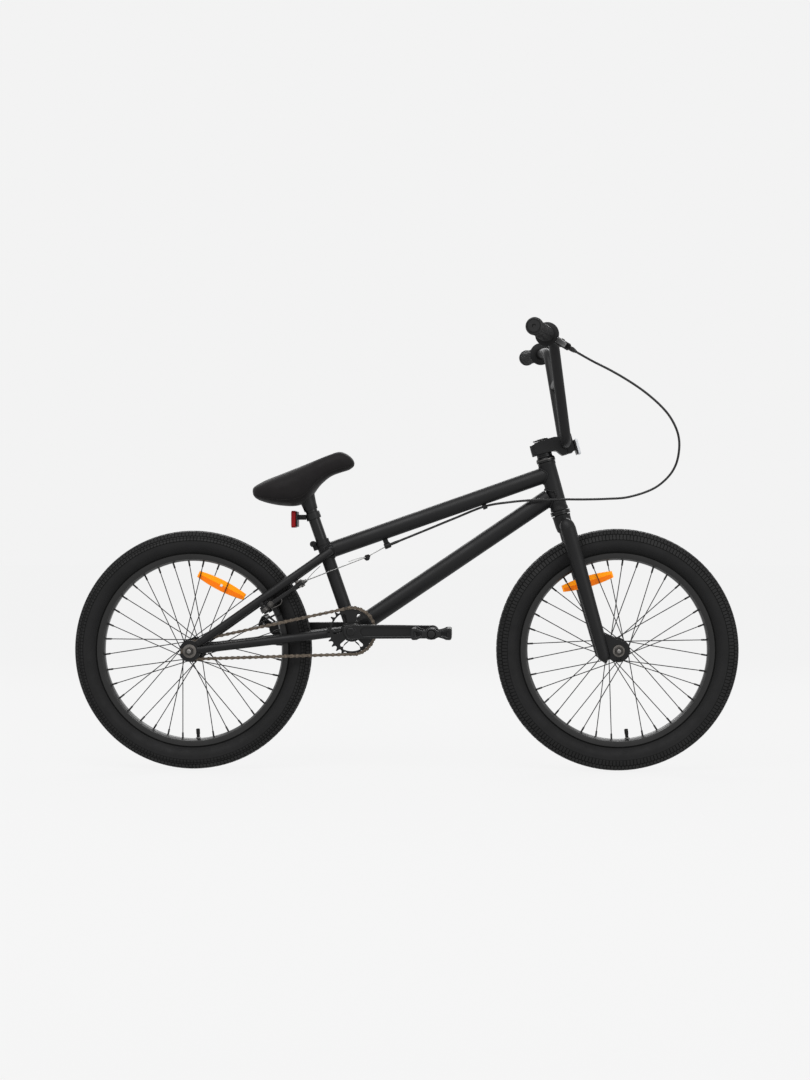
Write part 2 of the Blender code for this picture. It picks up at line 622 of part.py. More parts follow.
def grips():
    made = []
    for name, side in (("right", -1), ("left", 1)):
        start = bar_point(side, GRIP_START_Y)
        direction = bar_direction(side)
        length = (bar_point(side, BAR_END_Y) - start).length
        inner = BAR_RADIUS + GAP
        profile = [(inner, 0), (0.0245, 0), (0.0250, 0.003), (0.0160, 0.006),
                   (0.0155, length - 0.010), (0.0180, length - 0.006),
                   (0.0180, length - 0.0006), (inner, length - 0.0006)]
        made.append(build(f"grip_{name}", turned(profile, start, direction, 20, ring=True),
                          RUBBER, start))
        plug_profile = [(0.0088, length - 0.016), (0.0088, length + 0.0003),
                        (0.0172, length + 0.0003), (0.0172, length + 0.0026),
                        (0.0140, length + 0.0045)]
        made.append(build(f"bar_end_{name}", turned(plug_profile, start, direction, 20),
                          PLASTIC, bar_point(side, BAR_END_Y)))
    return made


LEVER_DROP = math.radians(31.0)
LEVER_AHEAD = Vector((math.cos(LEVER_DROP), 0, -math.sin(LEVER_DROP)))
LEVER_OUT = bar_direction(-1)
LEVER_REACH = (LEVER_AHEAD - LEVER_OUT * LEVER_AHEAD.dot(LEVER_OUT)).normalized()
LEVER_AXIS = LEVER_REACH.cross(LEVER_OUT).normalized()
LEVER_PIVOT = bar_point(-1, LEVER_Y) + LEVER_REACH * 0.030


def lever_point(reach, out, up=0.0):
    """A place in the lever's own plane, from the bar where the bracket clamps it."""
    return bar_point(-1, LEVER_Y) + LEVER_REACH * reach + LEVER_OUT * out + LEVER_AXIS * up


def brake_lever():
    axes = (LEVER_REACH, LEVER_OUT, LEVER_AXIS)
    clamp = sleeve(0.0165, BAR_RADIUS + GAP, -0.007, 0.007, bar_point(-1, LEVER_Y), LEVER_OUT, 16)
    bracket = build("brake_lever_bracket", clamp, BLACK_METAL, bar_point(-1, LEVER_Y))
    join(bracket, block(lever_point(0.0275, -0.004), (0.0135, 0.009, 0.0075), axes))
    join(bracket, tube([lever_point(0.045, -0.008), lever_point(0.0560, -0.028)], 0.0048, 12))
    join(bracket, block(lever_point(0.0405, -0.0085), (0.0065, 0.0045, 0.0045), axes))
    blade_slot = block(lever_point(0.036, 0.0075), (0.0100, 0.0090, 0.0036), axes)
    cut(bracket, blade_slot)
    path = [lever_point(0.030, 0.003), lever_point(0.038, 0.017), lever_point(0.046, 0.040),
            lever_point(0.044, 0.066), lever_point(0.037, 0.092)]
    blade = build("brake_lever", tube(path, [0.0030, 0.0031, 0.0046, 0.0048, 0.0042], 10),
                  BLACK_METAL, LEVER_PIVOT.copy())
    return bracket, blade


def front_reflector():
    axes = (HEAD_FORWARD, Vector((0, 1, 0)), HEAD_UP)
    clamp = head(BAR_CLAMP_UP, BAR_CLAMP_FORWARD)
    ring = sleeve(0.0140, BAR_RADIUS + GAP, 0.0265, 0.0385, clamp, (0, 1, 0), 16)
    bracket = build("front_reflector_bracket", ring, PLASTIC, clamp)
    join(bracket, block(head(0.0800, 0.0665, 0.0325), (0.0040, 0.0050, 0.0040), axes))
    join(bracket, block(head(0.0685, 0.0690, 0.006), (0.0015, 0.0315, 0.0160), axes))
    centre = head(0.0685, 0.0737)
    lens = build("front_reflector", block(centre, (0.0028, 0.0255, 0.0173), axes), CLEAR, centre)
    return bracket, lens


# ---------------------------------------------------------------- wheels
def tyre_profile(radius):
    """A closed loop of (radius, y) for a tyre open towards the rim."""
    half = TYRE_HALF_WIDTH
    outer = [(0.2045, 0.0136), (0.2095, 0.0138), (0.2130, 0.0172), (0.2300, half),
             (radius - 0.0145, half - 0.0020), (radius - 0.0035, 0.0150)]
    inner = [(radius - 0.0055, 0.0), (radius - 0.0110, 0.0165), (0.2310, half - 0.0040),
             (0.2130, 0.0128), (0.2045, 0.0098)]
    right_outer = [(r, -y) for r, y in outer]
    left_outer = [(r, y) for r, y in reversed(outer)]
    left_inner = [(r, y) for r, y in reversed(inner)]
    right_inner = [(r, -y) for r, y in inner[1:]]
    return right_outer + [(radius, 0.0)] + left_outer + left_inner + right_inner


def rim_profile():
    half = RIM_HALF_WIDTH
    side = [(RIM_FLANGE_RADIUS, half - 0.0021), (0.2010, half - 0.0023), (0.1990, 0.0060)]
    outside = [(RIM_FLANGE_RADIUS, half), (0.1975, half - 0.0005), (RIM_INNER_RADIUS, 0.0075)]
    loop = outside + [(r, -y) for r, y in reversed(outside)]
    return loop + [(r, -y) for r, y in side] + [(r, y) for r, y in reversed(side)]


def spoke_shape(axle, right_flange, left_flange, phase):
    """36 spokes laced three-cross, all growing from one thin band that is open at the valve."""
    outer = RIM_INNER_RADIUS * math.cos(math.pi / WHEEL_SEGMENTS) - 0.0006
    inner = outer - 0.0012
    half = 0.0045
    step = 2 * math.pi / BAND_SEGMENTS
    points = []
    faces = []

    def add(point):
        points.append(point)
        return len(points) - 1

    corners = []
    for k in range(BAND_SEGMENTS):
        turn = phase + (k + 0.5) * step
        corner = [add(polar(axle, r, turn, y)) for r, y in
                  ((inner, -half), (inner, half), (outer, half), (outer, -half))]
        corners.append(corner)
    faces.append(tuple(corners[0]))
    faces.append(tuple(corners[-1]))
    for k in range(1, BAND_SEGMENTS):
        a = corners[k - 1]
        b = corners[k]
        faces += [(a[i], a[i + 1], b[i + 1], b[i]) for i in (1, 2)]
        faces.append((a[3], a[0], b[0], b[3]))
        if k % 2 == 0:
            faces.append((a[0], a[1], b[1], b[0]))
            continue
        number = k // 2
        turn = phase + k * step
        side = -1 if number % 2 == 0 else 1
        leading = (number // 2) % 2 == 0
        flange = right_flange if side < 0 else left_flange
        offset = SPOKE_OFFSET if leading else -SPOKE_OFFSET
        hub_turn = turn + math.radians(60 if leading else -60)
        root = polar(axle, inner * math.cos(step / 2), turn, side * 0.002)
        hub = polar(axle, HUB_HOLE_RADIUS, hub_turn, flange + side * offset)
        along = Vector((-math.sin(turn), 0, math.cos(turn))) * SPOKE_HALF
        across = Vector((0, SPOKE_HALF, 0))
        square = (-along - across, -along + across, along + across, along - across)
        near = [add(root + s) for s in square]
        far = [add(hub + s) for s in square]
        border = (a[0], a[1], b[1], b[0])
        for i in range(4):
            j = (i + 1) % 4
            faces.append((border[i], border[j], near[j], near[i]))
            faces.append((near[i], near[j], far[j], far[i]))
        faces.append(tuple(far))
    return points, faces


def wheel(end, axle, radius, right_flange, left_flange, hub_ends, valve_turn, reflector_turn,
          reflector_radius):
    """The pieces of one wheel, each with its origin on the axle."""
    right_end, left_end = hub_ends
    tyre = build(f"{end}_tyre", turned(tyre_profile(radius), axle, (0, 1, 0), WHEEL_SEGMENTS,
                                       ring=True), RUBBER, axle)
    rim = build(f"{end}_rim", turned(rim_profile(), axle, (0, 1, 0), WHEEL_SEGMENTS, ring=True),
                BLACK_METAL, axle)
    tube_loop = [(radius - 0.0070, 0.0), (radius - 0.0140, 0.0155), (0.2310, 0.0212),
                 (0.2145, 0.0100), (0.2070, 0.0), (0.2145, -0.0100), (0.2310, -0.0212),
                 (radius - 0.0140, -0.0155)]
    inner_tube = build(f"{end}_inner_tube", turned(tube_loop, axle, (0, 1, 0), 24, ring=True),
                       RUBBER, axle)
    middle = (radius + 0.2000) / 2
    air_loop = [(middle + (r - middle) * 0.90, y * 0.90) for r, y in tube_loop]
    valve_top = polar(axle, 0.2115, valve_turn)
    valve_end = polar(axle, RIM_INNER_RADIUS - 0.0275, valve_turn)
    valve_inside = polar(axle, 0.2150, valve_turn)
    valve_mouth = polar(axle, RIM_INNER_RADIUS - 0.0300, valve_turn)
    join(inner_tube, tube([valve_top, valve_end], 0.0036, 10))
    cut(inner_tube, turned(air_loop, axle, (0, 1, 0), 24, ring=True))
    cut(inner_tube, tube([valve_inside, valve_mouth], 0.0016, 8))
    cut(rim, tube([polar(axle, 0.190, valve_turn), polar(axle, 0.203, valve_turn)], 0.0043, 12))
    hub_profile = []
    for y, r in ((right_end, 0.0095), (right_flange - 0.0060, 0.0120),
                 (right_flange - FLANGE_HALF, 0.0150), (right_flange - FLANGE_HALF, 0.0255),
                 (right_flange + FLANGE_HALF, 0.0255), (right_flange + FLANGE_HALF, 0.0150),
                 (right_flange + 0.0070, 0.0115), (left_flange - 0.0070, 0.0115),
                 (left_flange - FLANGE_HALF, 0.0150), (left_flange - FLANGE_HALF, 0.0255),
                 (left_flange + FLANGE_HALF, 0.0255), (left_flange + FLANGE_HALF, 0.0150),
                 (left_flange + 0.0060, 0.0120), (left_end, 0.0095),
                 (left_end, 0.0062), (right_end, 0.0062)):
        hub_profile.append((r, y))
    hub = build(f"{end}_hub", turned(hub_profile, axle, (0, 1, 0), 16, ring=True), BLACK_METAL,
                axle)
    spokes = build(f"{end}_spokes", spoke_shape(axle, right_flange, left_flange, valve_turn),
                   BLACK_METAL, axle)
    centre = polar(axle, reflector_radius, reflector_turn)
    out = Vector((math.cos(reflector_turn), 0, math.sin(reflector_turn)))
    along = Vector((-out.z, 0, out.x))
    outline = []
    for x, z in ((-0.0555, -0.004), (-0.0500, -0.0105), (0.0500, -0.0105), (0.0555, -0.004),
                 (0.0555, 0.004), (0.0500, 0.0115), (-0.0500, 0.0115), (-0.0555, 0.004)):
        place = centre + along * x + out * z
        outline.append((place.x, place.z))
    reflector = build(f"{end}_wheel_reflector", plate(outline, -0.0030, 0.0030), ORANGE, centre)
    return [tyre, rim, inner_tube, hub, spokes, reflector]


def axle_set(end, axle, radius, half_spacing, plate_thickness, cone_ends):
    """The fixed axle with its two cones, and the two nuts outside the dropouts."""
    reach = half_spacing + plate_thickness + 0.0115
    right_cone, left_cone = cone_ends
    outer = half_spacing - GAP
    profile = [(radius, -reach), (radius, -outer), (0.0085, -outer), (0.0085, -right_cone),
               (radius, -right_cone), (radius, left_cone), (0.0085, left_cone), (0.0085, outer),
               (radius, outer), (radius, reach)]
    made = [build(f"{end}_axle", turned(profile, axle, (0, 1, 0), 16), GREY_METAL, axle)]
    start = half_spacing + plate_thickness + GAP
    for name, side in (("right", -1), ("left", 1)):
        nut_profile = [(0.0115, start), (0.0115, start + 0.0018), (0.0098, start + 0.0020),
                       (0.0092, start + 0.0090), (radius + GAP, start + 0.0090),
                       (radius + GAP, start)]
        shape = turned(nut_profile, axle, (0, side, 0), 12, ring=True)
        made.append(build(f"{end}_axle_nut_{name}", shape, GREY_METAL, axle))
    return made


# ---------------------------------------------------------------- drive
def toothed_outline(centre, teeth, root, tip, phase=0.0):
    outline = []
    for i in range(teeth):
        for share, radius in ((0.02, root), (0.30, root), (0.50, tip), (0.82, tip)):
            turn = phase + 2 * math.pi * (i + share) / teeth
            outline.append((centre.x + radius * math.cos(turn), centre.z + radius * math.sin(turn)))
    return outline


def pitch_radius(teeth):
    return CHAIN_PITCH / (2 * math.sin(math.pi / teeth))


def sprocket():
    pitch = pitch_radius(SPROCKET_TEETH)
    outline = toothed_outline(BOTTOM_BRACKET, SPROCKET_TEETH, pitch - 0.0043, pitch + 0.0036)
    half = 0.0014
    obj = build("sprocket", plate(outline, CHAIN_LINE - half, CHAIN_LINE + half), BLACK_METAL,
                BOTTOM_BRACKET)
    low = CHAIN_LINE - 0.004
    high = CHAIN_LINE + 0.004
    cut(obj, turned([(SPINDLE_RADIUS + GAP, low), (SPINDLE_RADIUS + GAP, high)],
                    BOTTOM_BRACKET, (0, 1, 0)))
    windows = 5
    for i in range(windows):
        turn = math.radians(-90) + 2 * math.pi * i / windows
        inner = 0.0255
        outer = 0.0400
        half_angle = math.radians(25)
        window = []
        for radius, sign in ((inner, 1), (outer, -1)):
            for k in range(5):
                bend = turn + sign * half_angle * (1 - k / 2)
                window.append((BOTTOM_BRACKET.x + radius * math.cos(bend),
                               BOTTOM_BRACKET.z + radius * math.sin(bend)))
        cut(obj, plate(window, low, high))
    return obj


def crank_set():
    spindle = build("crank_spindle", turned(
        [(SPINDLE_RADIUS, -0.0775), (SPINDLE_RADIUS, 0.0775)], BOTTOM_BRACKET, (0, 1, 0)),
        GREY_METAL, BOTTOM_BRACKET)
    made = [spindle]
    for name, side in (("right", -1), ("left", 1)):
        reach = Vector((-side * CRANK_LENGTH, 0, 0))
        pedal = BOTTOM_BRACKET + reach
        middle_y = side * (CRANK_ARM_IN + CRANK_ARM_OUT) / 2
        half_y = (CRANK_ARM_OUT - CRANK_ARM_IN) / 2
        centre = BOTTOM_BRACKET + reach / 2 + Vector((0, middle_y, 0))
        arm = build(f"crank_arm_{name}", block(centre, (CRANK_LENGTH / 2, half_y, 0.0132)),
                    BLACK_METAL, BOTTOM_BRACKET)
        inner = CRANK_ARM_IN - 0.0165 if side < 0 else CRANK_ARM_IN - 0.020
        boss = turned([(0.0185, inner), (0.0185, CRANK_ARM_OUT + 0.0008)], BOTTOM_BRACKET,
                      (0, side, 0))
        end = turned([(0.0142, CRANK_ARM_IN - 0.0008), (0.0142, CRANK_ARM_OUT + 0.0008)], pedal,
                     (0, side, 0), 20)
        join(arm, boss, end)
        pocket_centre = centre + Vector((0, side * half_y, 0))
        cut(arm, block(pocket_centre, (CRANK_LENGTH / 2 - 0.033, 0.0035, 0.0075)))
        cut(arm, turned([(SPINDLE_RADIUS + GAP, 0.03), (SPINDLE_RADIUS + GAP, 0.09)],
                        BOTTOM_BRACKET, (0, side, 0)))
        cut(arm, turned([(0.0066, 0.05), (0.0066, 0.09)], pedal, (0, side, 0), 16))
        made.append(arm)
        axle_profile = [(0.0063, CRANK_ARM_IN), (0.0063, CRANK_ARM_OUT + 0.0012),
                        (0.0088, CRANK_ARM_OUT + 0.0012), (0.0088, CRANK_ARM_OUT + 0.0070),
                        (0.0052, PEDAL_IN), (0.0045, PEDAL_OUT - 0.004)]
        made.append(build(f"pedal_axle_{name}", turned(axle_profile, pedal, (0, side, 0), 16),
                          GREY_METAL, pedal))
    return made


def pedal(name, side, tilt):
    centre = BOTTOM_BRACKET + Vector((-side * CRANK_LENGTH, side * (PEDAL_IN + PEDAL_OUT) / 2, 0))
    turn = Quaternion((0, 1, 0), tilt)
    axes = tuple(turn @ Vector(a) for a in ((1, 0, 0), (0, 1, 0), (0, 0, 1)))
    half_width = (PEDAL_OUT - PEDAL_IN) / 2
    half_length = PEDAL_LENGTH / 2
    body = build(f"pedal_{name}", block(centre, (half_length, half_width, PEDAL_HEIGHT / 2), axes),
                 PLASTIC, centre - Vector((0, centre.y, 0)))
    for way in (-1, 1):
        window_centre = centre + axes[0] * (way * 0.0235)
        cut(body, block(window_centre, (0.0115, half_width - 0.009, 0.03), axes))
    pedal_axis = BOTTOM_BRACKET + Vector((-side * CRANK_LENGTH, 0, 0))
    cut(body, turned([(0.0064, PEDAL_IN - 0.004), (0.0064, PEDAL_OUT - 0.0025)], pedal_axis,
                     (0, side, 0), 16))
    return body


def rear_cog():
    pitch = pitch_radius(COG_TEETH)
    outline = toothed_outline(REAR_AXLE, COG_TEETH, pitch - 0.0042, pitch + 0.0034)
    half = 0.0014
    obj = build("rear_cog", plate(outline, CHAIN_LINE - half, CHAIN_LINE + half), GREY_METAL,
                REAR_AXLE)
    join(obj, turned([(0.0125, -0.0475), (0.0125, -0.0365)], REAR_AXLE, (0, 1, 0)))
    cut(obj, turned([(0.0098, -0.0500), (0.0098, -0.0350)], REAR_AXLE, (0, 1, 0)))
    return obj


def chain_loop():
    """Points and outward normals round the two toothed wheels, and which spans carry pins."""
    large = pitch_radius(SPROCKET_TEETH)
    small = pitch_radius(COG_TEETH)
    between = BOTTOM_BRACKET - REAR_AXLE
    lean = math.atan2(between.z, between.x)
    opening = math.acos((large - small) / between.length)
    top = lean + opening
    bottom = lean - opening
    places = []
    steps = 14
    for i in range(steps + 1):
        turn = bottom + (top - bottom) * i / steps
        places.append((polar(BOTTOM_BRACKET, large, turn), turn))
    runs = []
    start = places[-1][0]
    end = polar(REAR_AXLE, small, top)
    for share in (0.25, 0.27, 0.50, 0.52, 0.75, 0.77):
        runs.append(len(places))
        places.append((start.lerp(end, share), top))
    steps = 10
    for i in range(steps + 1):
        turn = top + (2 * math.pi - (top - bottom)) * i / steps
        places.append((polar(REAR_AXLE, small, turn), turn))
    start = places[-1][0]
    end = places[0][0]
    for share in (0.25, 0.27, 0.50, 0.52, 0.75, 0.77):
        runs.append(len(places))
        places.append((start.lerp(end, share), bottom))
    return places, set(runs[::2])


def chain():
    """Two rows of side plates as bands, held together by cross pins on the straight runs."""
    places, pinned = chain_loop()
    half_height = 0.0040
    points = []
    faces = []
    inner_gap = 0.0018
    outer_gap = 0.0040
    for place, turn in places:
        out = Vector((math.cos(turn), 0, math.sin(turn))) * half_height
        for y in (-outer_gap, -inner_gap, inner_gap, outer_gap):
            across = Vector((0, CHAIN_LINE + y, 0))
            points.append(place - out + across)
            points.append(place + out + across)
    count = len(places)
    for i in range(count):
        a = i * 8
        b = ((i + 1) % count) * 8
        for low, high in ((0, 2), (4, 6)):
            faces.append((a + low, a + high, b + high, b + low))
            faces.append((a + low + 1, a + high + 1, b + high + 1, b + low + 1))
        faces.append((a, a + 1, b + 1, b))
        faces.append((a + 6, a + 7, b + 7, b + 6))
        if i in pinned:
            faces.append((a + 2, a + 4, b + 4, b + 2))
            faces.append((a + 3, a + 5, b + 5, b + 3))
            faces.append((a + 2, a + 3, a + 5, a + 4))
            faces.append((b + 2, b + 3, b + 5, b + 4))
        else:
            faces.append((a + 2, a + 3, b + 3, b + 2))
            faces.append((a + 4, a + 5, b + 5, b + 4))
    return build("chain", (points, faces), CHAIN_METAL)


# ---------------------------------------------------------------- brake
def arm_point(along, under=0.0, y=0.0):
    """A place on the left brake arm: up along the stay, away from the stay, and outwards."""
    return brake_pivot() + STAY_UP * along + STAY_UNDER * under + Vector((0, y, 0))


ARM_LEAN = -0.0120


def brake_arms():
    made = []
    path = [(-0.006, 0.0), (0.030, ARM_LEAN * 0.3), (BRAKE_ARM_LENGTH, ARM_LEAN)]
    halves = ((0.0052, 0.0058), (0.0050, 0.0052), (0.0035, 0.0040))
    rings = []
    for (along, y), (half_y, half_under) in zip(path, halves):
        centre = arm_point(along, 0.0, y)
        ring = []
        for i, j in ((-1, -1), (1, -1), (1, 1), (-1, 1)):
            ring.append(centre + Vector((0, i * half_y, 0)) + STAY_UNDER * (j * half_under))
        rings.append(ring)
    bar = bridge_rings(rings)
    boss = tube([arm_point(0, -0.0062), arm_point(0, 0.0062)], 0.0088, 14)
    bore = tube([arm_point(0, -0.02), arm_point(0, 0.02)], 0.0056, 12)
    bolt_y = ARM_LEAN * PAD_ALONG / BRAKE_ARM_LENGTH
    bolt_hole = tube([arm_point(PAD_ALONG, 0, -0.02), arm_point(PAD_ALONG, 0, 0.02)], 0.0032, 10)
    pad_centre = arm_point(PAD_ALONG)
    radial = Vector((pad_centre.x - REAR_AXLE.x, 0, pad_centre.z - REAR_AXLE.z)).normalized()
    tangent = Vector((-radial.z, 0, radial.x))
    rim_spot = REAR_AXLE + radial * 0.2008
    pad_y = 0.0225
    pad_block = block(rim_spot + Vector((0, pad_y, 0)), (0.030, 0.0040, 0.0052),
                      (tangent, Vector((0, 1, 0)), radial))
    bolt_inner = Vector((pad_centre.x, pad_y, pad_centre.z))
    bolt_outer = Vector((pad_centre.x, pad_centre.y + 0.0085, pad_centre.z))
    washer = Vector((pad_centre.x, pad_centre.y + bolt_y + 0.0060, pad_centre.z))
    for name, side in (("right", -1), ("left", 1)):
        place = mirrored if side < 0 else (lambda shape: shape)
        origin = flip_y(brake_pivot()) if side < 0 else brake_pivot()
        arm = build(f"brake_arm_{name}", place(bar), BLACK_METAL, origin)
        join(arm, place(boss))
        cut(arm, place(bore), place(bolt_hole))
        pad = build(f"brake_pad_{name}", place(pad_block), RUBBER, origin)
        join(pad, place(tube([bolt_inner, bolt_outer], 0.0027, 10)))
        join(pad, place(tube([washer, bolt_outer], 0.0052, 10)))
        made.append((arm, pad))
    return made


YOKE = Vector((-0.0826, 0.0, 0.4622))


def brake_wire():
    start = CABLE_STOP + HOUSING_END_ALONG * (0.0007 + GAP)
    wire = build("brake_wire", tube([start, YOKE], WIRE_RADIUS, 8), BRIGHT_METAL)
    join(wire, block(YOKE, (0.0035, 0.0055, 0.0065)))
    left = [YOKE + Vector((0, 0.004, 0)), arm_point(BRAKE_ARM_LENGTH + 0.0016, 0.0, ARM_LEAN)]
    join(wire, tube(left, WIRE_RADIUS, 8), tube([flip_y(p) for p in left], WIRE_RADIUS, 8))
    return wire


# The housing's route: it leaves the lever, swings ahead of the bars, passes the right side of
# the head tube and runs under the top tube to the cable stop.
HOUSING_ROUTE = (
    lever_point(0.0567, -0.0294), lever_point(0.0655, -0.0400), Vector((0.3995, -0.150, 0.8724)),
    Vector((0.4381, -0.130, 0.8548)), Vector((0.4778, -0.112, 0.8334)),
    Vector((0.5140, -0.096, 0.8100)), Vector((0.5471, -0.082, 0.7825)),
    Vector((0.5690, -0.072, 0.7567)), Vector((0.5840, -0.062, 0.7254)),
    Vector((0.5873, -0.055, 0.6936)), Vector((0.5802, -0.048, 0.6585)),
    Vector((0.5610, -0.043, 0.6300)), Vector((0.5292, -0.039, 0.6069)),
    Vector((0.4796, -0.036, 0.5911)), Vector((0.4333, -0.034, 0.5875)),
    Vector((0.3905, -0.032, 0.5864)), Vector((0.3477, -0.031, 0.5865)),
    Vector((0.3122, -0.029, 0.5862)), Vector((0.2766, -0.022, 0.5851)),
    Vector((0.2266, -0.009, 0.5808)), CABLE_GUIDE, Vector((0.1050, 0.0, 0.5450)),
    Vector((0.0350, 0.0, 0.5163)), CABLE_STOP + HOUSING_END_ALONG * 0.0007,
)


def brake_housing():
    curve = bpy.data.curves.new("brake_housing", "CURVE")
    curve.dimensions = "3D"
    curve.bevel_depth = HOUSING_RADIUS
    curve.bevel_resolution = 1
    curve.use_fill_caps = True
    count = 62
    line = curve.splines.new("POLY")
    line.points.add(count - 1)
    for i, point in enumerate(line.points):
        point.co = (*smooth_values(HOUSING_ROUTE, i / (count - 1)), 1.0)
    curve.materials.append(material(PLASTIC))
    obj = bpy.data.objects.new("brake_housing", curve)
    bpy.context.scene.collection.objects.link(obj)
    return obj


# ---------------------------------------------------------------- assembly
def main():
    clear_scene()
    frame()
    lower, upper, cover = headset()
    bottom_bracket_bearings()
    axle_set("rear", REAR_AXLE, 0.0050, REAR_HALF_SPACING, REAR_PLATE, (0.0492, 0.0455))
    chain()
    brake_housing()
    brake_wire()

    post, saddle, saddle_base, _bolt = seat()
    bracket, lens = rear_reflector()
    joint("seat height", on_seat_tube(POST_TOP), [post, saddle, saddle_base, bracket, lens])

    steered = [fork(), cover, handlebar(), *stem(), *grips(), *front_reflector()]
    lever_bracket, lever = brake_lever()
    steered.append(lever_bracket)
    steered += axle_set("front", FRONT_AXLE, 0.0048, FRONT_HALF_SPACING, FRONT_PLATE,
                        (0.0405, 0.0405))
    steering = joint("steering axis", HEAD_CENTRE, steered)
    joint("lever pivot", LEVER_PIVOT, [lever], steering)

    front = wheel("front", FRONT_AXLE, FRONT_AXLE.z, -0.0330, 0.0330, (-0.0395, 0.0395),
                  math.radians(-83.6), math.radians(113.5), 0.1600)
    joint("front wheel axis", FRONT_AXLE, front, steering)
    rear = wheel("rear", REAR_AXLE, REAR_AXLE.z, -0.0240, 0.0340, (-0.0355, 0.0440),
                 math.radians(-86.8), math.radians(66.2), 0.1525)
    joint("rear wheel axis", REAR_AXLE, rear)
    joint("rear cog axis", REAR_AXLE, [rear_cog()])

    cranks = joint("crank axis", BOTTOM_BRACKET, [*crank_set(), sprocket()])
    for name, side, tilt in (("right", -1, 0.0), ("left", 1, LEFT_PEDAL_TILT)):
        axis = BOTTOM_BRACKET + Vector((-side * CRANK_LENGTH, 0, 0))
        joint(f"pedal axis {name}", axis, [pedal(name, side, tilt)], cranks)

    for (arm, pad), side in zip(brake_arms(), (-1, 1)):
        pivot = brake_pivot() if side > 0 else flip_y(brake_pivot())
        joint(f"brake pivot {'left' if side > 0 else 'right'}", pivot, [arm, pad])


main()
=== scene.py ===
"""The looks of a 20-inch BMX bike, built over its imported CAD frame, in metres."""

import json
import math

import bmesh
import bpy
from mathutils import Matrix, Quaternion, Vector


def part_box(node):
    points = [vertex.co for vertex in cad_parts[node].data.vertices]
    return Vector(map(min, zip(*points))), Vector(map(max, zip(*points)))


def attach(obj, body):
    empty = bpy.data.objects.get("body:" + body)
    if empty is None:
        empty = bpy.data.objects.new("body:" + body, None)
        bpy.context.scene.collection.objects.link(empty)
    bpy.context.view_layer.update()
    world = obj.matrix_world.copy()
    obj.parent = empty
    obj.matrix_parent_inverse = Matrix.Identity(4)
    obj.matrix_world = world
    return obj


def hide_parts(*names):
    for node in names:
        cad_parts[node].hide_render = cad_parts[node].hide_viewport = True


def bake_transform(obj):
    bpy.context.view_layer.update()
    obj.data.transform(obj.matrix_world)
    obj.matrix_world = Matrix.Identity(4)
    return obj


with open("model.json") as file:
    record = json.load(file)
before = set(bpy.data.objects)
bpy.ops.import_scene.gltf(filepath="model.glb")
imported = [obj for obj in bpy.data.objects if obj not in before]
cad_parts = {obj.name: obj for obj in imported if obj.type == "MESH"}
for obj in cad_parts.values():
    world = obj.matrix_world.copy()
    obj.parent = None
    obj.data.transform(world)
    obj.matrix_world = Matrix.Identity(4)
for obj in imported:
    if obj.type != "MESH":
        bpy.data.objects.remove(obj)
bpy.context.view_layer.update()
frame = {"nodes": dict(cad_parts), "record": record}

X = Vector((1, 0, 0))
Y = Vector((0, 1, 0))
Z = Vector((0, 0, 1))
ORIGIN = Vector((0, 0, 0))
SIDES = (("right", -1), ("left", 1))


# ---------------------------------------------------------------- places from the frame
def middle(node):
    low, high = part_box(node)
    return (low + high) / 2


def joint_of(name):
    return next(j for j in frame["record"]["behaviour"]["joints"] if j["name"] == name)


def joint_point(name):
    return Vector(joint_of(name)["pos_m"])


def joint_axis(name):
    return Vector(joint_of(name)["axis"]).normalized()


REAR_AXLE = joint_point("rear_wheel_spin")
FRONT_AXLE = joint_point("front_wheel_spin")
BB = joint_point("crank_spin")
HEAD = joint_point("steering_turn")
HEAD_UP = joint_axis("steering_turn")
HEAD_FORWARD = Y.cross(HEAD_UP)
SEAT_UP = joint_axis("seat_height")
SEAT_BACK = SEAT_UP.cross(Y)
BRAKE_AXIS = joint_axis("left_brake_arm_swing")
BRAKE_PIVOT = joint_point("left_brake_arm_swing")
STAY_UP = Vector((-BRAKE_AXIS.z, 0, BRAKE_AXIS.x))
LEVER_AXIS = joint_axis("brake_lever_pull")
LEVER_PIVOT = joint_point("brake_lever_pull")


def head(up, forward, y=0.0):
    """A place measured from the middle of the head tube, along it and ahead of it."""
    return HEAD + HEAD_UP * up + HEAD_FORWARD * forward + Y * y


def on_seat_tube(distance):
    """A place on the seat tube's line, measured from the bottom bracket."""
    return BB + SEAT_UP * distance


def polar(centre, radius, angle, y=0.0):
    """A place on a circle about a wheel's or the cranks' axle, at the given y."""
    return Vector((centre.x + radius * math.cos(angle), y, centre.z + radius * math.sin(angle)))


def flip(point):
    return Vector((point[0], -point[1], point[2]))


# ---------------------------------------------------------------- shapes as (points, faces)
def join_shapes(*shapes):
    """One shape from several."""
    points = []
    faces = []
    for more_points, more_faces in shapes:
        start = len(points)
        points += [Vector(p) for p in more_points]
        faces += [tuple(start + i for i in face) for face in more_faces]
    return points, faces


def mirrored(shape):
    points, faces = shape
    return [flip(p) for p in points], [tuple(reversed(f)) for f in faces]


def both_sides(shape):
    """The shape and its mirror image across the bike's middle plane."""
    return join_shapes(shape, mirrored(shape))


def side_basis(tangent, near=Y):
    """Two directions square to the tangent, the first as close to near as it can be."""
    first = near - tangent * near.dot(tangent)
    if first.length < 0.1:
        first = -Z + tangent * tangent.z
    first.normalize()
    return first, tangent.cross(first)


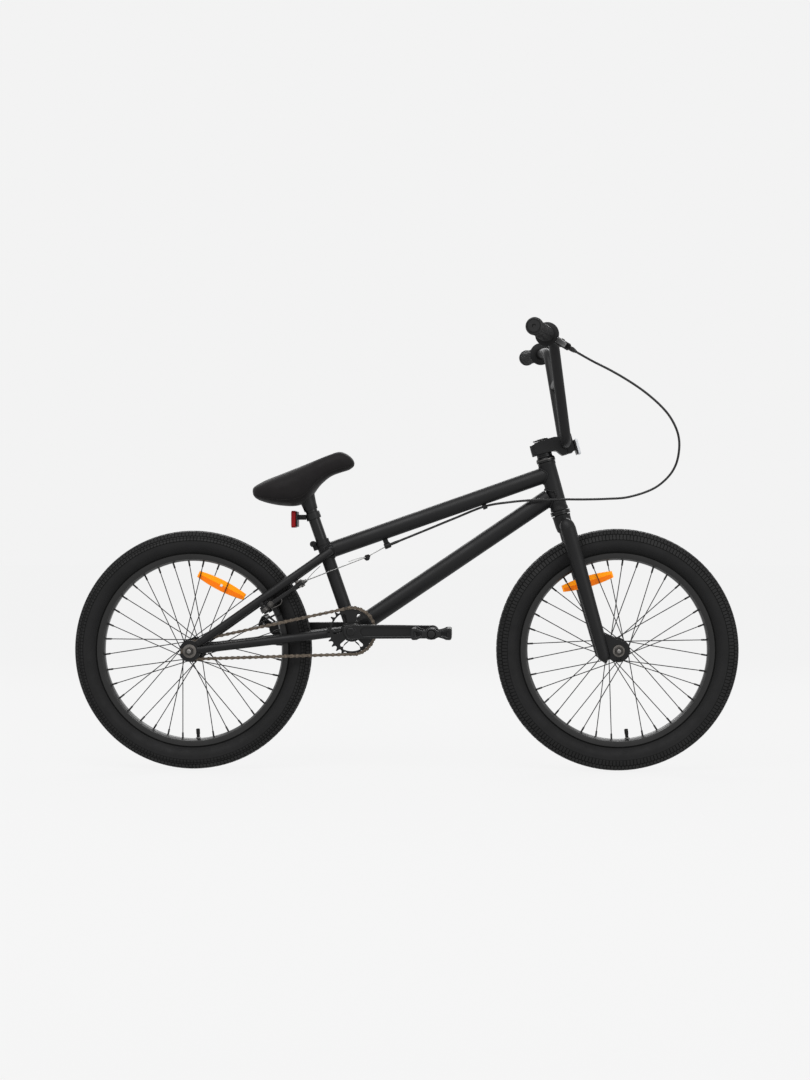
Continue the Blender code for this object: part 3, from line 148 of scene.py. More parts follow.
def bridge_rings(rings, closed_loop=False):
    """A skin over rings of equal size, capped at its ends unless it closes on itself."""
    size = len(rings[0])
    count = len(rings)
    points = [p for ring in rings for p in ring]
    faces = []
    for i in range(count if closed_loop else count - 1):
        a = i * size
        b = ((i + 1) % count) * size
        for j in range(size):
            k = (j + 1) % size
            faces.append((a + j, a + k, b + k, b + j))
    if not closed_loop:
        faces.append(tuple(reversed(range(size))))
        faces.append(tuple(range((count - 1) * size, count * size)))
    return points, faces


def tube(path, radius, sides=28):
    """A round tube along a path; the radius is one number or one for each point."""
    path = [Vector(p) for p in path]
    radii = radius if isinstance(radius, (list, tuple)) else [radius] * len(path)
    rings = []
    across = None
    before = None
    for i, point in enumerate(path):
        ahead = path[min(i + 1, len(path) - 1)] - point
        behind = point - path[max(i - 1, 0)]
        tangent = (ahead.normalized() + behind.normalized()).normalized()
        if across is None:
            across, _ = side_basis(tangent)
        else:
            across = before.rotation_difference(tangent) @ across
        before = tangent
        up = tangent.cross(across)
        turns = [2 * math.pi * j / sides for j in range(sides)]
        rings.append([point + (across * math.cos(t) + up * math.sin(t)) * radii[i] for t in turns])
    return bridge_rings(rings)


def turned(profile, origin, axis, segments=48, loop=False):
    """A profile of (radius, height) turned about an axis; a looped profile leaves a bore."""
    axis = Vector(axis).normalized()
    first, second = side_basis(axis, -Z)
    rings = []
    for radius, height in profile:
        centre = Vector(origin) + axis * height
        turns = [2 * math.pi * j / segments for j in range(segments)]
        rings.append([centre + (first * math.cos(t) + second * math.sin(t)) * radius
                      for t in turns])
    return bridge_rings(rings, closed_loop=loop)


def collar(inner, outer, low, high, lip, slope=None):
    """A ring's profile with its outer edges cut by lip across and slope along the axis."""
    slope = lip if slope is None else slope
    return [(inner, low), (outer - lip, low), (outer, low + slope), (outer, high - slope),
            (outer - lip, high), (inner, high)]


def both_halves(half):
    """A closed outline from the points (a, b) of its half on one side of b = 0."""
    return half + [(r, -y) for r, y in reversed(half)]


def block(centre, half, axes=(X, Y, Z)):
    """A box from its middle and its half sizes along three axes."""
    corners = []
    for i in (-1, 1):
        for j, k in ((-1, -1), (1, -1), (1, 1), (-1, 1)):
            corners.append(Vector(centre) + axes[0] * (i * half[0]) + axes[1] * (j * half[1])
                           + axes[2] * (k * half[2]))
    return bridge_rings([corners[:4], corners[4:]])


def plate(outline, origin, u, v, w, low, high):
    """An outline in the (u, v) plane thickened along w from low to high."""
    rings = [[Vector(origin) + u * a + v * b + w * h for a, b in outline] for h in (low, high)]
    return bridge_rings(rings)


def arc(centre, radius, start, end, steps):
    """Points of a flat arc, angles in degrees."""
    found = []
    for i in range(steps + 1):
        turn = math.radians(start + (end - start) * i / steps)
        found.append((centre[0] + radius * math.cos(turn), centre[1] + radius * math.sin(turn)))
    return found


def hexagon(radius):
    return [(radius * math.cos(math.radians(a)), radius * math.sin(math.radians(a)))
            for a in range(0, 360, 60)]


def bezier_corner(corners, radius, steps=8):
    """A path through the corners, each rounded from radius before it to radius after it."""
    corners = [Vector(c) for c in corners]
    path = [corners[0]]
    for before, here, after in zip(corners, corners[1:], corners[2:]):
        start = here + (before - here).normalized() * radius
        end = here + (after - here).normalized() * radius
        for i in range(steps + 1):
            t = i / steps
            path.append(start * (1 - t) ** 2 + here * (2 * t * (1 - t)) + end * t ** 2)
    path.append(corners[-1])
    return path


def smooth_values(keys, t):
    """A Catmull-Rom curve through evenly spaced vectors, read at t from 0 to 1."""
    place = t * (len(keys) - 1)
    i = min(int(place), len(keys) - 2)
    f = place - i
    a = keys[max(i - 1, 0)]
    b = keys[i]
    c = keys[i + 1]
    d = keys[min(i + 2, len(keys) - 1)]
    return 0.5 * ((2 * b) + (c - a) * f + (2 * a - 5 * b + 4 * c - d) * f ** 2
                  + (3 * b - a - 3 * c + d) * f ** 3)


def smooth_path(keys, steps):
    """Evenly read points of the smooth curve through the keys."""
    return [smooth_values(keys, i / steps) for i in range(steps + 1)]


def piece(name, shape, look, body, bevel=0.0, angle=32.0, replace=None):
    """A shown mesh that rides on a CAD body and can stand for a CAD node."""
    points, faces = shape
    mesh = bpy.data.meshes.new(name)
    mesh.from_pydata([tuple(p) for p in points], [], faces)
    work = bmesh.new()
    work.from_mesh(mesh)
    bmesh.ops.recalc_face_normals(work, faces=work.faces)
    work.to_mesh(mesh)
    work.free()
    mesh.materials.append(look)
    obj = bpy.data.objects.new(name, mesh)
    bpy.context.scene.collection.objects.link(obj)
    for polygon in mesh.polygons:
        polygon.use_smooth = True
    mesh.set_sharp_from_angle(angle=math.radians(angle))
    if bevel:
        step = obj.modifiers.new("Bevel", "BEVEL")
        step.width = bevel
        step.segments = 2
        step.limit_method = "ANGLE"
        step.angle_limit = math.radians(angle)
        step.harden_normals = True
    if body:
        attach(obj, body)
    if replace:
        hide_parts(replace)
    return obj


# ---------------------------------------------------------------- materials
def new_material(name, colour, roughness, metallic=0.0, specular=0.5, coat=0.0, sheen=0.0):
    """A plain material, its node tree and its shader node."""
    made = bpy.data.materials.new(name)
    made.use_nodes = True
    shader = made.node_tree.nodes["Principled BSDF"]
    shader.inputs["Base Color"].default_value = (*colour, 1.0)
    shader.inputs["Roughness"].default_value = roughness
    shader.inputs["Metallic"].default_value = metallic
    shader.inputs["Specular IOR Level"].default_value = specular
    shader.inputs["Coat Weight"].default_value = coat
    shader.inputs["Sheen Weight"].default_value = sheen
    return made, made.node_tree, shader


def place_coordinates(tree):
    return tree.nodes.new("ShaderNodeTexCoord").outputs["Object"]


def noise(tree, scale, detail=4.0):
    made = tree.nodes.new("ShaderNodeTexNoise")
    made.inputs["Scale"].default_value = scale
    made.inputs["Detail"].default_value = detail
    made.inputs["Roughness"].default_value = 0.55
    tree.links.new(place_coordinates(tree), made.inputs["Vector"])
    return made.outputs["Fac"]


def ramp(tree, value, stops):
    """The colours of the stops, each (place, colour), picked by the value."""
    made = tree.nodes.new("ShaderNodeValToRGB")
    elements = made.color_ramp.elements
    while len(elements) < len(stops):
        elements.new(0.5)
    for element, (place, colour) in zip(elements, stops):
        element.position = place
        element.color = (*colour, 1.0)
    tree.links.new(value, made.inputs["Fac"])
    return made.outputs["Color"]


def grey_ramp(tree, value, low, high, start=0.3, end=0.7):
    return ramp(tree, value, [(start, (low,) * 3), (end, (high,) * 3)])


def add_bump(tree, shader, height, strength, distance):
    """Bumps from a height, on top of any that the shader already has."""
    made = tree.nodes.new("ShaderNodeBump")
    made.inputs["Strength"].default_value = strength
    made.inputs["Distance"].default_value = distance
    tree.links.new(height, made.inputs["Height"])
    before = shader.inputs["Normal"].links
    if before:
        tree.links.new(before[0].from_socket, made.inputs["Normal"])
    tree.links.new(made.outputs["Normal"], shader.inputs["Normal"])


def varied(name, dark, light, rough, scale, grain, grain_depth, metallic=0.0, specular=0.5,
           sheen=0.0):
    """A surface with slow colour and gloss changes and a fine grain."""
    middle_colour = tuple((a + b) / 2 for a, b in zip(dark, light))
    made, tree, shader = new_material(name, middle_colour, sum(rough) / 2, metallic, specular,
                                      sheen=sheen)
    slow = noise(tree, scale)
    tree.links.new(ramp(tree, slow, [(0.3, dark), (0.7, light)]), shader.inputs["Base Color"])
    gloss = noise(tree, scale * 2.7)
    tree.links.new(grey_ramp(tree, gloss, *rough), shader.inputs["Roughness"])
    add_bump(tree, shader, noise(tree, grain, 2.0), 0.35, grain_depth)
    return made


def worn_edges(made, colour, amount=0.6, low=0.53, high=0.62):
    """Shows a lighter tone where the mesh turns a sharp edge."""
    tree = made.node_tree
    shader = tree.nodes["Principled BSDF"]
    edges = grey_ramp(tree, tree.nodes.new("ShaderNodeNewGeometry").outputs["Pointiness"],
                      0.0, amount, low, high)
    mix = tree.nodes.new("ShaderNodeMix")
    mix.data_type = "RGBA"
    before = shader.inputs["Base Color"].links[0].from_socket
    tree.links.new(edges, mix.inputs["Factor"])
    tree.links.new(before, mix.inputs["A"])
    mix.inputs["B"].default_value = (*colour, 1.0)
    tree.links.new(mix.outputs["Result"], shader.inputs["Base Color"])
    return made


def rubber(name, tone, rough):
    """A matt black that wanders a little to each side of its tone."""
    return varied(name, tuple(c * 0.85 for c in tone), tuple(c * 1.15 for c in tone), rough, 14,
                  600, 0.00003, specular=0.16)


def lens(name, colour, deep, cells):
    """A moulded reflector: small prisms behind a clear, glossy face."""
    made, tree, shader = new_material(name, colour, 0.30, 0.0, 0.12, coat=0.08)
    cell = tree.nodes.new("ShaderNodeTexVoronoi")
    cell.inputs["Scale"].default_value = cells
    cell.inputs["Randomness"].default_value = 0.0
    tree.links.new(place_coordinates(tree), cell.inputs["Vector"])
    distance = cell.outputs["Distance"]
    tree.links.new(ramp(tree, distance, [(0.0, colour), (0.55, deep)]), shader.inputs["Base Color"])
    add_bump(tree, shader, distance, 0.5, 0.0006)
    return made


PAINT = varied("matte_paint", (0.0040, 0.0040, 0.0043), (0.0058, 0.0058, 0.0062), (0.44, 0.54), 9,
               700, 0.00001, specular=0.20)
SATIN = varied("satin_black", (0.0026, 0.0026, 0.0028), (0.0048, 0.0048, 0.0050), (0.26, 0.36), 18,
               700, 0.00001, specular=0.26)
RIM_BLACK = varied("rim_black", (0.0052, 0.0051, 0.0051), (0.0074, 0.0072, 0.0072), (0.32, 0.42),
                   16, 700, 0.00001, specular=0.34)
STEEL = worn_edges(varied("grey_steel", (0.050, 0.048, 0.045), (0.095, 0.091, 0.087),
                          (0.30, 0.46), 60, 900, 0.00001, metallic=0.9), (0.26, 0.25, 0.24))
WASHER = varied("washer_steel", (0.080, 0.074, 0.068), (0.15, 0.14, 0.13), (0.34, 0.50), 90, 900,
                0.00001, metallic=0.85)
NUT = worn_edges(varied("nut_steel", (0.018, 0.017, 0.016), (0.034, 0.032, 0.030), (0.34, 0.48), 60,
                        900, 0.00001, metallic=0.8), (0.20, 0.19, 0.18))
BRIGHT = varied("bright_steel", (0.16, 0.16, 0.155), (0.26, 0.26, 0.255), (0.24, 0.36), 80, 900,
                0.00001, metallic=1.0)
CHAIN = varied("chain_bronze", (0.045, 0.037, 0.029), (0.150, 0.122, 0.096), (0.34, 0.50), 210,
               700, 0.00002, metallic=0.8)
TYRE = rubber("tyre_rubber", (0.0076, 0.0076, 0.0078), (0.60, 0.78))
TREAD = rubber("tread_rubber", (0.0088, 0.0088, 0.0089), (0.55, 0.72))
# Painted shade: a near-black rubber for the tread's groove floor and for the ring where the tyre meets
# the rim. It is darker than the tyre to stand for the shade in these creases.
CREASE_SHADE = rubber("crease_shade_rubber", (0.0010, 0.0010, 0.0010), (0.85, 0.95))
GRIP = rubber("grip_rubber", (0.0045, 0.0045, 0.0047), (0.50, 0.66))
PAD = rubber("pad_rubber", (0.008, 0.008, 0.008), (0.6, 0.8))
PLASTIC = varied("black_plastic", (0.0038, 0.0038, 0.0040), (0.0066, 0.0066, 0.0069), (0.38, 0.52),
                 22, 500, 0.00002, specular=0.24)
CABLE = varied("cable_sleeve", (0.0050, 0.0050, 0.0052), (0.0076, 0.0076, 0.0079), (0.30, 0.40), 40,
               900, 0.00001, specular=0.30)
ORANGE = lens("orange_lens", (0.96, 0.36, 0.0005), (0.86, 0.25, 0.0003), 420)
AMBER = lens("amber_lens", (0.80, 0.20, 0.0005), (0.70, 0.14, 0.0003), 420)
RED = lens("red_lens", (0.42, 0.010, 0.012), (0.15, 0.002, 0.003), 420)
CLEAR = lens("clear_lens", (0.80, 0.81, 0.82), (0.45, 0.46, 0.48), 420)
FABRIC = varied("saddle_fabric", (0.0040, 0.0034, 0.0036), (0.0062, 0.0053, 0.0056), (0.60, 0.72),
                16, 900, 0.00004, specular=0.12, sheen=0.03)


# ---------------------------------------------------------------- sizes of the bike's own parts
HEAD_HALF = 0.0541
HEAD_RADIUS = 0.01825
TOP_RADIUS = 0.01745
DOWN_RADIUS = 0.0190
SEAT_RADIUS = 0.0143
SHELL_RADIUS = 0.0235
SHELL_HALF = 0.034
CHAIN_STAY_RADIUS = 0.0095
SEAT_STAY_RADIUS = 0.00875
POST_RADIUS = 0.0127
TOP_TUBE = (on_seat_tube(0.180), head(0.0293, 0.0))
DOWN_TUBE = (BB, head(-0.0209, -0.0147))
CLAMP_BOSS = middle("seat_clamp_bolt")
CHAIN_STAY_BEND = BB + Vector((-0.0416, 0.0252, -0.005))
STAY_UNDER = BRAKE_AXIS
STAY_TOP = on_seat_tube(0.1783) - SEAT_BACK * 0.012 + Y * 0.021
STAY_END = REAR_AXLE + Vector((0.0165, 0.0585, 0.0146))
REAR_PLATE = (0.055, 0.061)
FRONT_PLATE = (0.050, 0.055)
FORK_OUT = 0.055
FORK_LOW = -0.3795
BAR_RADIUS = 0.0111
BAR_CLAMP = head(0.0821, 0.0495)
BAR_END_Y = 0.365
GRIP_START_Y = 0.228
LEVER_Y = 0.207
CHAIN_LINE = middle("sprocket").y
PITCH = 0.0127
SPROCKET_TEETH = 25
COG_TEETH = 9
SPINDLE_HOLE = arc((0, 0), 0.0098, 0, 351, 39)
CRANK_LENGTH = 0.175
CRANK_INNER = 0.0635
CRANK_OUTER = 0.0765
PEDAL_INNER = 0.0905
PEDAL_OUTER = 0.1785
CABLE_GUIDE = Vector((0.1729, 0.0, 0.5718))
CABLE_STOP = Vector((-0.0380, 0.0, 0.4868))
CABLE_ALONG = (CABLE_STOP - CABLE_GUIDE).normalized()


def loop_tube(path, radii, sides=10):
    """A round bead along a closed path."""
    rings = []
    count = len(path)
    for i, point in enumerate(path):
        tangent = (path[(i + 1) % count] - path[i - 1]).normalized()
        first, second = side_basis(tangent, Vector((0.3, 0.9, 0.2)))
        rings.append([point + (first * math.cos(2 * math.pi * j / sides)
                               + second * math.sin(2 * math.pi * j / sides)) * radii[i]
                      for j in range(sides)])
    return bridge_rings(rings, closed_loop=True)


def weld(start, end, radius, other, other_along, other_radius, bead=0.0021, ripples=34):
    """The bead where a round tube from start leaves another round tube on its way to end."""
    along = (end - start).normalized()
    first, second = side_basis(along)
    path = []
    radii = []
    count = ripples * 4
    for i in range(count):
        turn = 2 * math.pi * i / count
        point = start + (first * math.cos(turn) + second * math.sin(turn)) * radius
        reach = point - other
        across = reach - other_along * reach.dot(other_along)
        step = along - other_along * along.dot(other_along)
        a = step.dot(step)
        b = across.dot(step)
        c = across.dot(across) - other_radius ** 2
        distance = (-b + math.sqrt(max(b * b - a * c, 0.0))) / a
        path.append(point + along * distance)
        radii.append(bead * (1.0 + 0.16 * math.cos(ripples * turn)))
    return loop_tube(path, radii)


def ring_bead(centre, along, radius, bead, ripples=30):
    """The rippled bead of a weld in a flat ring."""
    first, second = side_basis(along)
    count = ripples * 4
    turns = [2 * math.pi * i / count for i in range(count)]
    path = [centre + (first * math.cos(t) + second * math.sin(t)) * radius for t in turns]
    return loop_tube(path, [bead * (1.0 + 0.15 * math.cos(ripples * t)) for t in turns])


def pierced(outline, holes, origin, u, v, w, half, bevel=0.0003):
    """A flat plate with holes, its middle at the origin and its thickness along w."""
    curve = bpy.data.curves.new("pierced", "CURVE")
    curve.dimensions = "2D"
    curve.fill_mode = "BOTH"
    curve.extrude = half - bevel
    curve.bevel_depth = bevel
    curve.bevel_resolution = 1
    curve.offset = -bevel
    for loop in (outline, *holes):
        line = curve.splines.new("POLY")
        line.points.add(len(loop) - 1)
        line.use_cyclic_u = True
        for point, (a, b) in zip(line.points, loop):
            point.co = (a, b, 0.0, 1.0)
    obj = bpy.data.objects.new("pierced", curve)
    bpy.context.scene.collection.objects.link(obj)
    bpy.context.view_layer.update()
    mesh = obj.evaluated_get(bpy.context.evaluated_depsgraph_get()).to_mesh()
    points = [Vector(origin) + u * p.co.x + v * p.co.y + w * p.co.z for p in mesh.vertices]
    faces = [tuple(f.vertices) for f in mesh.polygons]
    bpy.data.objects.remove(obj)
    bpy.data.curves.remove(curve)
    return points, faces


def bolt_head(centre, along, radius=0.0040, height=0.0040, socket=0.0022):
    """A round cap screw with a six-sided hole."""
    first, second = side_basis(along)
    rim = [(0.0, 0.0), (radius * 0.92, 0.0), (radius, radius * 0.12), (radius, height * 0.82),
           (radius * 0.86, height), (socket * 1.15, height)]
    body = turned(rim, centre, along, 20)
    wall = [(socket * math.cos(math.radians(a)), socket * math.sin(math.radians(a)))
            for a in range(0, 360, 60)]
    floor = [Vector(centre) + first * a + second * b + along * (height * 0.45) for a, b in wall]
    edge = [Vector(centre) + first * a + second * b + along * height for a, b in wall]
    outer = []
    for j in range(20):
        turn = 2 * math.pi * j / 20
        outer.append(Vector(centre) + (first * math.cos(turn) + second * math.sin(turn))
                     * (socket * 1.15) + along * height)
    body_points, body_faces = body
    bottom = plate(wall, centre, first, second, along, height * 0.40, height * 0.46)
    return join_shapes((body_points, body_faces[:-1]), bottom, socket_wall(floor, edge, outer))


def socket_wall(floor, edge, outer):
    """The wall of a six-sided hole and the flat round it, out to a round edge."""
    points = floor + edge + outer
    faces = [(i, (i + 1) % 6, 6 + (i + 1) % 6, 6 + i) for i in range(6)]
    for j in range(len(outer)):
        k = (j + 1) % len(outer)
        near = round(j * 6 / len(outer)) % 6
        after = round(k * 6 / len(outer)) % 6
        inward = (6 + after,) if near == after else (6 + after, 6 + near)
        faces.append((12 + j, 12 + k, *inward))
    return points, faces


def hex_nut(centre, along, across, height, bore, washer=0.0, washer_radius=0.0):
    """A six-sided nut with a rounded top, on an optional washer."""
    first, second = side_basis(along)
    shapes = []
    if washer:
        shapes.append(turned([(bore, 0.0), (washer_radius, 0.0), (washer_radius, washer),
                              (bore, washer)], centre, along, 40, loop=True))
    radius = across / math.sqrt(3)
    rings = []
    for share, size in ((0.0, 1.0), (0.84, 1.0), (1.0, 0.88)):
        level = Vector(centre) + along * (washer + height * share)
        rings.append([level + (first * a + second * b) * size for a, b in hexagon(radius)])
    shapes.append(bridge_rings(rings))
    return join_shapes(*shapes)


def threaded(centre, along, radius, length, pitch=0.0010):
    """A bolt end with fine ring grooves for its thread and a domed tip."""
    count = max(int(length / pitch), 2)
    profile = [(0.0, 0.0)]
    for i in range(count):
        profile += [(radius * 0.92, length * i / count), (radius, length * (i + 0.5) / count)]
    profile += [(radius * 0.92, length), (radius * 0.7, length + 0.0006), (0.0, length + 0.0008)]
    return turned(profile, centre, along, 24)


# ---------------------------------------------------------------- frame
def stay_point(t):
    """A point on the left seat stay's centre line, t from 0 at the top to 1 at the dropout."""
    level = STAY_TOP.lerp(STAY_END, t)
    bend = 0.28
    if t < bend:
        level.y = STAY_TOP.y + (0.040 - STAY_TOP.y) * t / bend
    else:
        level.y = 0.040 + (STAY_END.y - 0.040) * (t - bend) / (1 - bend)
    return level


def slotted_disc(centre, radius, slot_half, steps):
    """A round plate's outline with a slot that opens backwards."""
    lip = math.degrees(math.asin(slot_half / radius))
    outline = arc(centre, radius, 180 - lip, -180 + lip, steps)
    return outline + arc(centre, slot_half, -90, 90, 12)


def rear_dropout():
    outline = slotted_disc((REAR_AXLE.x, REAR_AXLE.z), 0.023, 0.0055, 44)
    return plate(outline, ORIGIN, X, Z, Y, *REAR_PLATE)


def frame_tubes():
    """The head tube, the bottom bracket's shell and the three main tubes."""
    seat_top = on_seat_tube(0.2075)
    head_ends = [(HEAD_RADIUS - 0.0008, -HEAD_HALF), (HEAD_RADIUS + 0.0010, -HEAD_HALF + 0.0006),
                 (HEAD_RADIUS + 0.0010, -HEAD_HALF + 0.0060), (HEAD_RADIUS, -HEAD_HALF + 0.0080),
                 (HEAD_RADIUS, HEAD_HALF - 0.0080), (HEAD_RADIUS + 0.0010, HEAD_HALF - 0.0060),
                 (HEAD_RADIUS + 0.0010, HEAD_HALF - 0.0006), (HEAD_RADIUS - 0.0008, HEAD_HALF),
                 (0.0152, HEAD_HALF), (0.0152, -HEAD_HALF)]
    head_tube = turned(head_ends, HEAD, HEAD_UP, 48, loop=True)
    shell = turned(collar(0.0205, SHELL_RADIUS, -SHELL_HALF, SHELL_HALF, 0.0005), BB, Y, 48,
                   loop=True)
    top = tube([TOP_TUBE[0].lerp(TOP_TUBE[1], t) for t in (0.0, 0.5, 1.0)], TOP_RADIUS, 44)
    down = tube([DOWN_TUBE[0].lerp(DOWN_TUBE[1], t) for t in (0.02, 0.5, 1.0)], DOWN_RADIUS, 44)
    seat = tube([BB, on_seat_tube(0.196), on_seat_tube(0.1961), seat_top],
                [SEAT_RADIUS, SEAT_RADIUS, SEAT_RADIUS + 0.0012, SEAT_RADIUS + 0.0012], 40)
    return join_shapes(head_tube, shell, top, down, seat)


def frame_welds():
    """The beads where the tubes and the stays meet."""
    top_along = (TOP_TUBE[1] - TOP_TUBE[0]).normalized()
    return join_shapes(
        weld(TOP_TUBE[1], TOP_TUBE[0], TOP_RADIUS, HEAD, HEAD_UP, HEAD_RADIUS),
        weld(DOWN_TUBE[1], DOWN_TUBE[0], DOWN_RADIUS, HEAD, HEAD_UP, HEAD_RADIUS, 0.0023),
        weld(TOP_TUBE[0], TOP_TUBE[1], TOP_RADIUS, BB, SEAT_UP, SEAT_RADIUS),
        weld(DOWN_TUBE[0], DOWN_TUBE[1], DOWN_RADIUS, BB, Y, SHELL_RADIUS, 0.0023),
        weld(BB, on_seat_tube(0.1), SEAT_RADIUS, BB, Y, SHELL_RADIUS),
        both_sides(weld(BB + Y * 0.024, CHAIN_STAY_BEND,
                        CHAIN_STAY_RADIUS, BB, Y, SHELL_RADIUS, 0.0016, 22)),
        both_sides(ring_bead(stay_point(0.975), (STAY_END - STAY_TOP).normalized(),
                             SEAT_STAY_RADIUS * 0.96, 0.0014, 18)),
        both_sides(loop_tube([STAY_TOP + Y * -0.006 + top_along * (0.011 * math.cos(t))
                              + SEAT_UP * (0.012 * math.sin(t))
                              for t in [2 * math.pi * i / 64 for i in range(64)]],
                             [0.0018 * (1.0 + 0.15 * math.cos(i * math.pi / 2))
                              for i in range(64)])))


def frame_stays():
    """The seat stays, the chain stays, the dropouts and the two bridges."""
    ends = [STAY_TOP + (STAY_TOP - STAY_END).normalized() * d for d in (0.0060, 0.0046, 0.0024)]
    path = ends + [stay_point(t) for t in (0.0, 0.12, 0.25, 0.28, 0.33, 0.6, 0.93, 0.985, 1.0)]
    radii = [SEAT_STAY_RADIUS * s for s in (0.25, 0.70, 0.93, 1, 1, 1, 1, 1, 1, 1, 0.94, 0.80)]
    stay = tube(path, radii, 28)
    corners = [BB + Y * 0.024, CHAIN_STAY_BEND,
               BB + Vector((-0.1156, 0.0415, -0.014)), REAR_AXLE + Vector((0.0164, 0.058, 0.003))]
    lower_path = bezier_corner(corners, 0.02)
    last = lower_path[-1]
    lower_path.insert(-1, last.lerp(lower_path[-2], 0.10))
    lower = tube(lower_path, [CHAIN_STAY_RADIUS] * (len(lower_path) - 2)
                 + [CHAIN_STAY_RADIUS * 0.94, CHAIN_STAY_RADIUS * 0.78], 28)
    chain_bridge = BB + Vector((-0.0706, 0.031, -0.0085))
    seat_bridge = stay_point(0.22)
    bridges = [tube([flip(end), end], 0.006, 24) for end in (chain_bridge, seat_bridge)]
    return join_shapes(both_sides(stay), both_sides(lower), both_sides(rear_dropout()), *bridges)


def frame_fittings():
    """The brake's studs, the seat clamp's boss and the housing's guide and stop."""
    base = BRAKE_PIVOT - STAY_UNDER * 0.0203
    stud = tube([base, base + STAY_UNDER * 0.0120, base + STAY_UNDER * 0.0121,
                 base + STAY_UNDER * 0.0285], [0.0075, 0.0062, 0.0050, 0.0050], 24)
    stud_head = bolt_head(base + STAY_UNDER * 0.0272, STAY_UNDER, 0.0072, 0.0042, 0.0026)
    boss = tube([CLAMP_BOSS - Y * 0.012, CLAMP_BOSS + Y * 0.012], 0.0066, 28)
    neck = block(on_seat_tube(0.198) + SEAT_BACK * 0.0165, (0.006, 0.006, 0.008),
                 (SEAT_BACK, Y, SEAT_UP))
    guide = turned(collar(0.0037, 0.0062, -0.005, 0.005, 0.0004, 0.001), CABLE_GUIDE,
                   CABLE_ALONG, 24, loop=True)
    stop = turned([(0.0026, -0.007), (0.0056, -0.007), (0.0062, -0.006), (0.0062, 0.006),
                   (0.0056, 0.007), (0.0016, 0.007)], CABLE_STOP, CABLE_ALONG, 24, loop=True)
    stop_up = Vector((CABLE_ALONG.z, 0, -CABLE_ALONG.x))
    post = block(CABLE_STOP + stop_up * 0.012, (0.0055, 0.0025, 0.0085),
                 (CABLE_ALONG, Y, stop_up))
    return join_shapes(both_sides(stud), both_sides(stud_head), boss, neck, guide, stop, post)


def build_frame():
    """The welded frame as one piece, and the seat clamp's bolt."""
    shape = join_shapes(frame_tubes(), frame_welds(), frame_stays(), frame_fittings())
    piece("frame_body", shape, PAINT, "frame", 0.0004, 40, replace="frame")
    ends = [bolt_head(CLAMP_BOSS + Y * (side * 0.0122), Y * side, 0.0048, 0.0046, 0.0024)
            for side in (-1, 1)]
    shaft = tube([CLAMP_BOSS - Y * 0.0125, CLAMP_BOSS + Y * 0.0125], 0.0026, 16)
    piece("clamp_bolt", join_shapes(shaft, *ends), SATIN, "frame", replace="seat_clamp_bolt")


def build_headset():
    """The head tube's two bearings, their cover and a seal, as rings round the steerer."""
    # Each point is (radius, distance beyond the head tube's end).
    lower = [(0.0150, 0.0003), (0.0206, 0.0003), (0.0213, 0.0010), (0.0213, 0.0046),
             (0.0206, 0.0052), (0.0206, 0.0058), (0.0214, 0.0064), (0.0214, 0.0090),
             (0.0206, 0.0096), (0.0150, 0.0096)]
    upper = [(0.0151, 0.0003), (0.0200, 0.0003), (0.0207, 0.0010), (0.0207, 0.0052),
             (0.0201, 0.0058), (0.0151, 0.0058)]
    cover = [(0.0149, 0.0062), (0.0206, 0.0062), (0.0207, 0.0070), (0.0197, 0.0092),
             (0.0172, 0.0113), (0.0168, 0.0118), (0.0168, 0.0150), (0.0164, 0.0153),
             (0.0168, 0.0156), (0.0168, 0.0191), (0.0149, 0.0191)]
    seal = [(0.0195, 0.0054), (0.0211, 0.0056), (0.0211, 0.0063), (0.0195, 0.0065)]

    def ring(profile, side):
        beyond = [(radius, side * (HEAD_HALF + height)) for radius, height in profile]
        return turned(beyond, HEAD, HEAD_UP, 56, loop=True)

    for name, profile, side, body in (("headset_lower_bearing", lower, -1, "frame"),
                                      ("headset_upper_bearing", upper, 1, "frame"),
                                      ("headset_cover", cover, 1, "steering")):
        piece(name + "_ring", ring(profile, side), SATIN, body, replace=name)
    piece("headset_seal", ring(seal, 1), STEEL, "frame")


# ---------------------------------------------------------------- steering
def fork_leg():
    """The left leg, which bends out of the crown and then narrows to its foot."""
    # Each station is (up, forward, out, radius), from the crown down to the foot.
    stations = ((-0.0790, 0.0030, 0.0470, 0.0060), (-0.0815, 0.0036, 0.0505, 0.0110),
                (-0.0870, 0.0042, 0.0535, 0.0148), (-0.0960, 0.0046, 0.0548, 0.0162),
                (-0.1100, 0.0047, FORK_OUT, 0.0165), (-0.240, 0.0052, FORK_OUT, 0.0149),
                (-0.3720, 0.0056, FORK_OUT, 0.0133), (-0.3786, 0.0056, FORK_OUT, 0.0131),
                (FORK_LOW, 0.0056, FORK_OUT, 0.0122))
    path = [head(*station[:3]) for station in stations]
    radii = [Vector((station[3], 0, 0)) for station in stations]
    return tube(smooth_path(path, 40), [size.x for size in smooth_path(radii, 40)], 40)


def fork_dropout():
    """A slotted disc that runs straight up to the front of the leg and back to its foot."""
    centre = (FRONT_AXLE.x, FRONT_AXLE.z)
    radius = 0.0220
    slot_half = 0.0052
    lip = math.degrees(math.asin(slot_half / radius))
    outline = arc(centre, radius, -90 + lip, 61, 34)
    for point in (head(-0.3240, 0.0080), head(-0.3240, 0.0), head(-0.3790, 0.0)):
        outline.append((point.x, point.z))
    outline += arc(centre, radius, -106, -90 - lip, 3)
    outline += arc(centre, slot_half, 180, 0, 12)
    return plate(outline, ORIGIN, X, Z, Y, *FRONT_PLATE)


